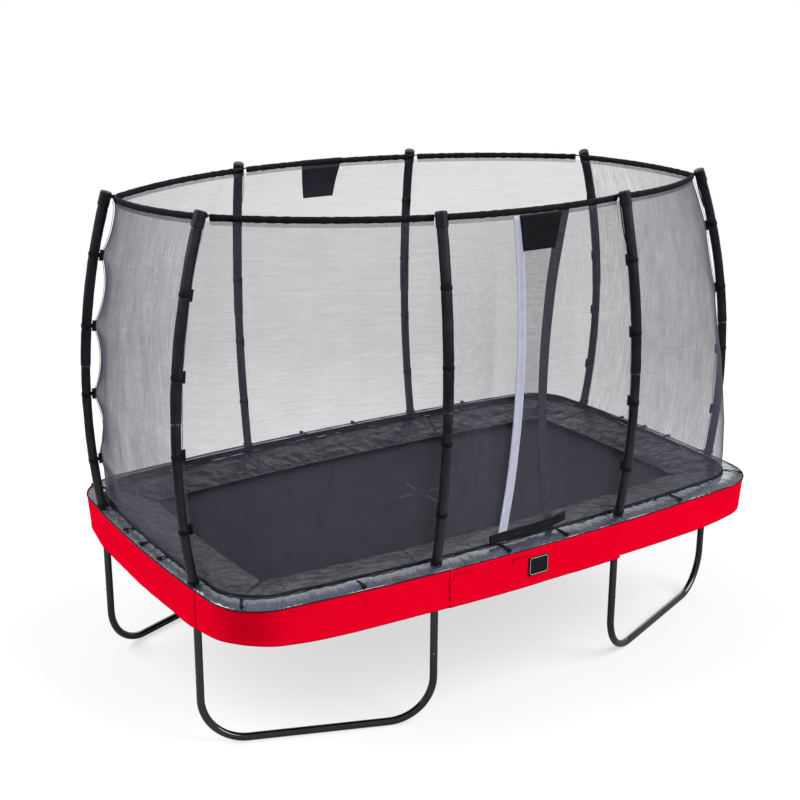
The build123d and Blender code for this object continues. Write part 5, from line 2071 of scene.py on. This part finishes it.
@dataclass
class Skirt:
    """The red skirt: four straight pieces lapped over four corner pieces."""

    palette: Palette
    top: float = 0.9262
    drop: float = 0.2220
    lap: float = 0.012
    side_reach: float = 0.600
    end_reach: float = 0.660
    cloth: float = 0.0014

    def build(self) -> None:
        """Build the skirt's pieces, its stitching and its bare patch."""
        line = PLAN.cover_line
        quarter = line.quarter()
        side = line.side_radius * math.asin(self.side_reach / line.side_radius)
        end = line.end_radius * math.asin(self.end_reach / line.end_radius)
        plain = (
            ("front", -side, side),
            ("right", quarter - end, quarter + end),
            ("back", 2 * quarter - side, 2 * quarter + side),
            ("left", 3 * quarter - end, 3 * quarter + end),
        )
        for name, start, stop in plain:
            self._piece(f"skirt_{name}", start, stop, 0.0012, 0.0, f"skirt_{name}")
        for index, (name, _, stop) in enumerate(plain):
            following = plain[(index + 1) % 4][1] + (4 * quarter if index == 3 else 0.0)
            start, stop = stop - self.lap, following + self.lap
            lift = 0.014 if name == "front" else 0.003
            self._piece(f"skirt_corner_{name}", start, stop, -0.0014, lift, "skirt_corners")
        self._stitches()
        self._patch()

    def _piece(
        self, name: str, start: float, stop: float, stand: float, lift: float, node: str
    ) -> None:
        """Build one piece of skirt.

        Args:
            name: Its name.
            start: Where it starts round the cover's outline.
            stop: Where it stops.
            stand: How far it stands out.
            lift: How much shorter it hangs.
            node: The CAD node that it stands for.
        """
        line, count, tall = PLAN.cover_line, int((stop - start) / 0.008), 30
        places = [mix(start, stop, step / count) for step in range(count + 1)]
        plans = [(line.walk(place), line.outward(place)) for place in places]
        elbow = line.corner_centre() + Vector((1, 1)).normalized() * line.corner_radius
        rows = []
        for step in range(tall + 1):
            part = step / tall
            row = []
            for place, (plan, out) in zip(places, plans):
                near = min(place - start, stop - place)
                sway = 0.0032 * ripple(place * 2.1, part * 0.7, 6.0) * part
                sway += 0.0015 * ripple(place * 9, part * 1.3, 8.0) * smooth(0, 0.3, part)
                sway += 0.0022 * math.exp(-near / 0.03) * ripple(part * 7, place * 4, 2.0) * part
                hem = 0.0011 * smooth(0.895, 0.905, part)
                pull = -0.0008 * math.exp(-(((part - 0.9) / 0.01) ** 2))
                tuck = -0.0028 * (1 - smooth(0.0, 0.05, part))
                from_leg = math.exp(-(((abs(plan.y) - PLAN.end_post) / 0.14) ** 2))
                away = math.hypot(abs(plan.x) - elbow.x, abs(plan.y) - elbow.y)
                corner = math.exp(-((away / 0.25) ** 2))
                tuck -= part * (0.006 * out.x**4 * (1 - 0.8 * from_leg) + 0.014 * corner)
                point = plan + out * (stand + sway + hem + pull + tuck - 0.0012)
                fall = (self.drop - lift - (0.028 - lift) * corner) * part
                hang = self.top - fall + 0.0014 * ripple(place * 3, 5.0) * part
                row.append(Vector((point.x, point.y, hang)))
            rows.append(row)
        draft = Draft()
        draft.grid(rows, places, marks(self.drop, tall))
        piece = draft.make(f"{name}_cloth", self.palette.skirt)
        thicken(piece, self.cloth)
        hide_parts(node)

    def _face(self, x: float, z: float, stand: float) -> Vector:
        """Find a point just off the front of the skirt."""
        return Vector((x, -PLAN.cover_line.side_y(x) - stand, z))

    def _stitches(self) -> None:
        """Build the two angle-shaped runs of dark stitching."""
        draft = Draft()
        for start, stop, height in ((-0.577, -0.479, 0.896), (-0.190, -0.089, 0.894)):
            flat = [self._face(mix(start, stop, i / 12), height, 0.0042) for i in range(13)]
            drop = [self._face(start, height - 0.030 * i / 6, 0.0042) for i in range(7)]
            draft.tube(flat, lambda index, angle: 0.0011, around=6)
            draft.tube(drop, lambda index, angle: 0.0011, around=6, up=Vector((1, 0, 0)))
        piece = draft.make("skirt_stitching", self.palette.black)

    def _patch(self) -> None:
        """Build the bare patch sewn to the middle of the skirt."""
        low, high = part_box("skirt_patch")
        rows, count = [], 24
        for step in range(count + 1):
            z = mix(low.z, high.z, step / count)
            row = []
            for across in range(count + 1):
                x = mix(low.x, high.x, across / count)
                a, b = abs(2 * across / count - 1), abs(2 * step / count - 1)
                edge = max(a, b)
                dome = 0.0022 * (1 - edge**8) - 0.0009 * math.exp(-(((edge - 0.9) / 0.03) ** 2))
                pinch = 1 - 0.04 * smooth(0.8, 1.0, a) * smooth(0.8, 1.0, b)
                centre = Vector(((low.x + high.x) / 2, 0, (low.z + high.z) / 2))
                point = self._face(x, z, 0.0044 + dome)
                pinched = (mix(centre.x, point.x, pinch), point.y, mix(centre.z, z, pinch))
                row.append(Vector(pinched))
            rows.append(row)
        size = (high.x - low.x, high.z - low.z)
        draft = Draft()
        draft.grid(rows, marks(size[0], count), marks(size[1], count))
        self._border(low, high)
        piece = draft.make("skirt_patch_cloth", self.palette.black)
        thicken(piece, 0.0016)
        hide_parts("skirt_patch")

    def _border(self, low: Vector, high: Vector) -> None:
        """Stitch a pale line round the patch, just inside its edge.

        Args:
            low: The patch's lowest corner.
            high: Its highest corner.
        """
        path, inset, turn = [], 0.0075, 0.014
        for sign_x, sign_z, start in ((1, 1, 0), (-1, 1, 1), (-1, -1, 2), (1, -1, 3)):
            for step in range(7):
                angle = (start + step / 6) * math.pi / 2
                x = (low.x + high.x) / 2 + sign_x * ((high.x - low.x) / 2 - inset - turn)
                z = (low.z + high.z) / 2 + sign_z * ((high.z - low.z) / 2 - inset - turn)
                x += turn * math.cos(angle)
                z += turn * math.sin(angle)
                path.append(self._face(x, z, 0.0078))
        draft = Draft()
        draft.tube(path, lambda index, angle: 0.0017, around=6, up=Vector((0, 1, 0)), closed=True)
        piece = draft.make("skirt_patch_stitching", self.palette.cream)


@dataclass
class JumpingBed:
    """The mat with its binding, and the coil springs that hold it."""

    palette: Palette
    line: Outline = field(default_factory=lambda: PLAN.frame_line.grown(-0.245))
    top: float = 0.855
    wire: float = 0.004
    coil: float = 0.024
    barrel: float = 0.118
    rail_hook: float = 0.0235
    mat_hook: float = 0.2033

    def build(self) -> None:
        """Build the mat, its binding and its springs."""
        self._mat()
        self._edge()
        for number, (distance, node) in enumerate(self._places()):
            self._spring(f"spring_{number + 1}", distance, node)

    def _mat(self) -> None:
        """Build the mat's cloth, with a faint sag and slack near its edge."""
        rim = self.line.around(360)
        draft, rows = Draft(), []
        for step in range(41):
            part = 0.02 + 0.98 * step / 40
            row = []
            for point in rim:
                plan = point * part
                sag = -0.004 * (1 - part * part)
                slack = 0.0016 * ripple(plan.x * 2.5, plan.y * 2.5, 11.0)
                height = self.top - 0.0015 + sag + slack * (1 - part**6)
                row.append(Vector((plan.x, plan.y, height)))
            rows.append(row)
        draft.grid(rows, [0.0] * 361, [0.0] * 41, closed=True)
        draft.cap(rows[0], flip=True)
        around = [draft.points[index] for face in draft.faces for index in face]
        draft.corners = [(point.x, point.y) for point in around]
        piece = draft.make("mat_cloth", self.palette.mat, BED)
        thicken(piece, 0.0022)
        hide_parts("mat")

    def _edge(self) -> None:
        """Build the binding sewn under the mat's edge."""
        count = 520
        outer, inner = (self.line.grown(-inset).around(count) for inset in (0.001, 0.049))
        rows = []
        for step in range(7):
            part = step / 6
            row = []
            for a, b in zip(inner, outer):
                plan = a.lerp(b, part)
                wave = 0.0005 * ripple(plan.x * 20, plan.y * 20)
                row.append(Vector((plan.x, plan.y, self.top - 0.0045 + wave)))
            rows.append(row)
        total = 4 * self.line.quarter()
        draft = Draft()
        draft.grid(rows, marks(total, count), [0.008 * i for i in range(7)], closed=True)
        piece = draft.make("mat_binding_webbing", self.palette.webbing, BED)
        thicken(piece, 0.0012)
        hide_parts("mat_binding")

    def _places(self) -> list[tuple[float, str]]:
        """List where the springs are.

        Returns:
            Distance round the frame, and the CAD node that holds the spring.
        """
        line, pitch = PLAN.frame_line, 0.155
        quarter = line.quarter()
        end_part = line.length(Section.RIGHT) / 2
        corner = line.length(Section.FRONT_RIGHT)
        offsets = [pitch * step for step in range(-3, 4)]
        beyond = PLAN.post_distance(line, ENTRANCE[1]) + 0.075 + pitch / 3
        for step in range(5):
            offsets += [beyond + pitch * 0.94 * step, -(beyond + pitch * 0.94 * step)]
        for share in (0.27, 0.73):
            place = quarter - end_part - corner * share
            offsets += [place, -place]
        ends = [pitch * (step + 0.5 - 3) for step in range(6)]
        return [
            (start + offset, node)
            for node, starts, group in (
                ("springs_long", (0, 2 * quarter), offsets),
                ("springs_short", (quarter, 3 * quarter), ends),
            )
            for start in starts
            for offset in group
        ]

    def _spring(self, name: str, distance: float, node: str) -> None:
        """Build one coil spring with its two hooks.

        Args:
            name: Its name.
            distance: Where it is round the frame.
            node: The CAD node that it stands for.
        """
        foot = PLAN.frame_line.walk(distance)
        out = PLAN.frame_line.outward(distance)
        near, far = foot - out * self.rail_hook, foot - out * self.mat_hook
        start = Vector((near.x, near.y, PLAN.rail_height))
        end = Vector((far.x, far.y, self.top - 0.0015))
        run = end - start
        along = run.normalized()
        side = along.cross(Vector((0, 0, 1))).normalized()
        rise = side.cross(along)
        lead = (run.length - self.barrel) / 2
        size, turns = (self.coil - self.wire) / 2, int(self.barrel / (self.wire * 1.35))
        path = [start + along * (lead * i / 6) for i in range(6)]
        steps = turns * 10
        for step in range(steps + 1):
            part = step / steps
            grow = size * smooth(0.0, 0.05, part) * smooth(0.0, 0.05, 1 - part)
            angle = 2 * math.pi * turns * part
            wind = side * math.cos(angle) * grow + rise * math.sin(angle) * grow
            path.append(start + along * (lead + self.barrel * part) + wind)
        path += [start + along * (run.length - lead * (1 - i / 6)) for i in range(1, 7)]
        draft = Draft()
        draft.tube(path, lambda index, angle: self.wire / 2, around=6, up=rise)
        piece = draft.make(name, self.palette.zinc, None)
        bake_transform(piece)
        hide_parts(node)


# ---------------------------------------------------------------- studio
@dataclass
class Studio:
    """White floor, soft lights and the camera."""

    focal: float = 62.63
    eye: tuple[float, float, float] = (-4.4973, -6.6069, 4.0236)
    yaw: float = 0.5792
    pitch: float = 0.3119
    roll: float = -0.005
    floor_shade: float = 0.34
    floor_glow: float = 0.63

    def build(self) -> None:
        """Build the studio."""
        self._floor()
        self._world()
        self._sun("Left sun", (-1.0, 0.8, 1.15), 2.8, 44.0)
        self._sun("Back sun", (0.545, 0.76, 0.42), 0.32, 32.0)
        self._sun("Front sun", (1.0, -1.0, 1.25), 3.1, 44.0)
        self._camera()
        scene = bpy.context.scene
        scene.view_settings.view_transform = "Standard"
        scene.view_settings.look = "None"

    def _floor(self) -> None:
        """Build the pale floor."""
        g = Surface("matt_white_studio_floor")
        seen = g.add("LightPath").outputs["Is Camera Ray"]
        away = g.add("VectorMath", g.place(), operation="LENGTH").outputs["Value"]
        near = g.add("MapRange", away, 3.4, 6.5, 1.0, 0.0)
        scuffs = g.add("TexNoise", Vector=g.place(), Scale=1 / (1667 * MM))
        tone = g.add("MapRange", scuffs, 0.3, 0.7, 0.97, 1.0)
        tone = g.add("Math", near, tone, operation="MULTIPLY")
        tone = g.add("Math", tone, self.floor_shade, operation="MULTIPLY")
        glow = g.add("MapRange", near, 0.0, 1.0, 1.0, self.floor_glow)
        grit = g.add("TexNoise", Vector=g.place(), Scale=1 / (3.33 * MM))
        material = g.finish(
            Base_Color=g.add("CombineXYZ", tone, tone, tone),
            Emission_Color=(1.0, 1.0, 1.0, 1.0),
            Emission_Strength=g.add("Math", seen, glow, operation="MULTIPLY"),
            Specular_IOR_Level=0.0,
            Roughness=0.9,
            Normal=g.add("Bump", Height=grit, Distance=0.2 * MM, Strength=0.2),
        )
        mesh = bpy.data.meshes.new("studio_floor")
        edge = FLOOR_REACH
        corners = [(-edge, -edge, 0.0), (edge, -edge, 0.0), (edge, edge, 0.0), (-edge, edge, 0.0)]
        mesh.from_pydata(corners, [], [(0, 1, 2, 3)])
        mesh.materials.append(material)
        floor = bpy.data.objects.new("studio_floor", mesh)
        bpy.context.scene.collection.objects.link(floor)

    def _world(self) -> None:
        """Build a white backdrop that lights the scene softly."""
        world = bpy.data.worlds.new("Studio")
        bpy.context.scene.world = world
        g = Graph(world)
        seen = g.add("LightPath").outputs["Is Camera Ray"]
        lighting = g.add("Background", Color=(0.93, 0.95, 1, 1), Strength=0.5)
        backdrop = g.add("Background", Color=(1, 1, 1, 1), Strength=1.0)
        g.add("OutputWorld", Surface=g.add("MixShader", seen, lighting, backdrop))

    def _sun(self, name: str, source: Stretch, strength: float, spread: float) -> None:
        """Add one wide, soft sun.

        Args:
            name: Its name.
            source: The direction that it shines from.
            strength: Its irradiance.
            spread: The angle that it fills, in degrees.
        """
        data = bpy.data.lights.new(name, "SUN")
        data.energy = strength
        data.angle = math.radians(spread)
        lamp = bpy.data.objects.new(name, data)
        lamp.rotation_mode = "QUATERNION"
        lamp.rotation_quaternion = Vector(source).to_track_quat("Z", "Y")
        bpy.context.scene.collection.objects.link(lamp)

    def _camera(self) -> None:
        """Add the camera."""
        data = bpy.data.cameras.new("Camera")
        data.lens = self.focal
        data.sensor_width = 36.0
        data.clip_end = 200.0
        camera = bpy.data.objects.new("Camera", data)
        camera.location = self.eye
        camera.rotation_mode = "XYZ"
        camera.rotation_euler = (math.pi / 2 - self.pitch, self.roll, -self.yaw)
        bpy.context.scene.collection.objects.link(camera)
        bpy.context.scene.camera = camera


def plain(box: tuple[Vector, Vector]) -> list[list[float]]:
    """Turn a box into plain numbers."""
    return [[float(value) for value in corner] for corner in box]


def main() -> None:
    """Build the trampoline and its studio."""
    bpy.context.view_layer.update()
    palette = Palette()
    enclosure = Enclosure(palette)
    for part in (
        SteelFrame(palette),
        Sleeves(palette),
        enclosure,
        Fittings(palette, enclosure),
        SafetyPad(palette),
        Skirt(palette),
        JumpingBed(palette),
        Studio(),
    ):
        known = set(bpy.data.objects)
        part.build()
        log.info("%s built", type(part).__name__)
        for piece in bpy.data.objects:
            if piece not in known:
                log.info("  %s", piece.name)
    bpy.context.view_layer.update()


if __name__ == "__main__":
    main()
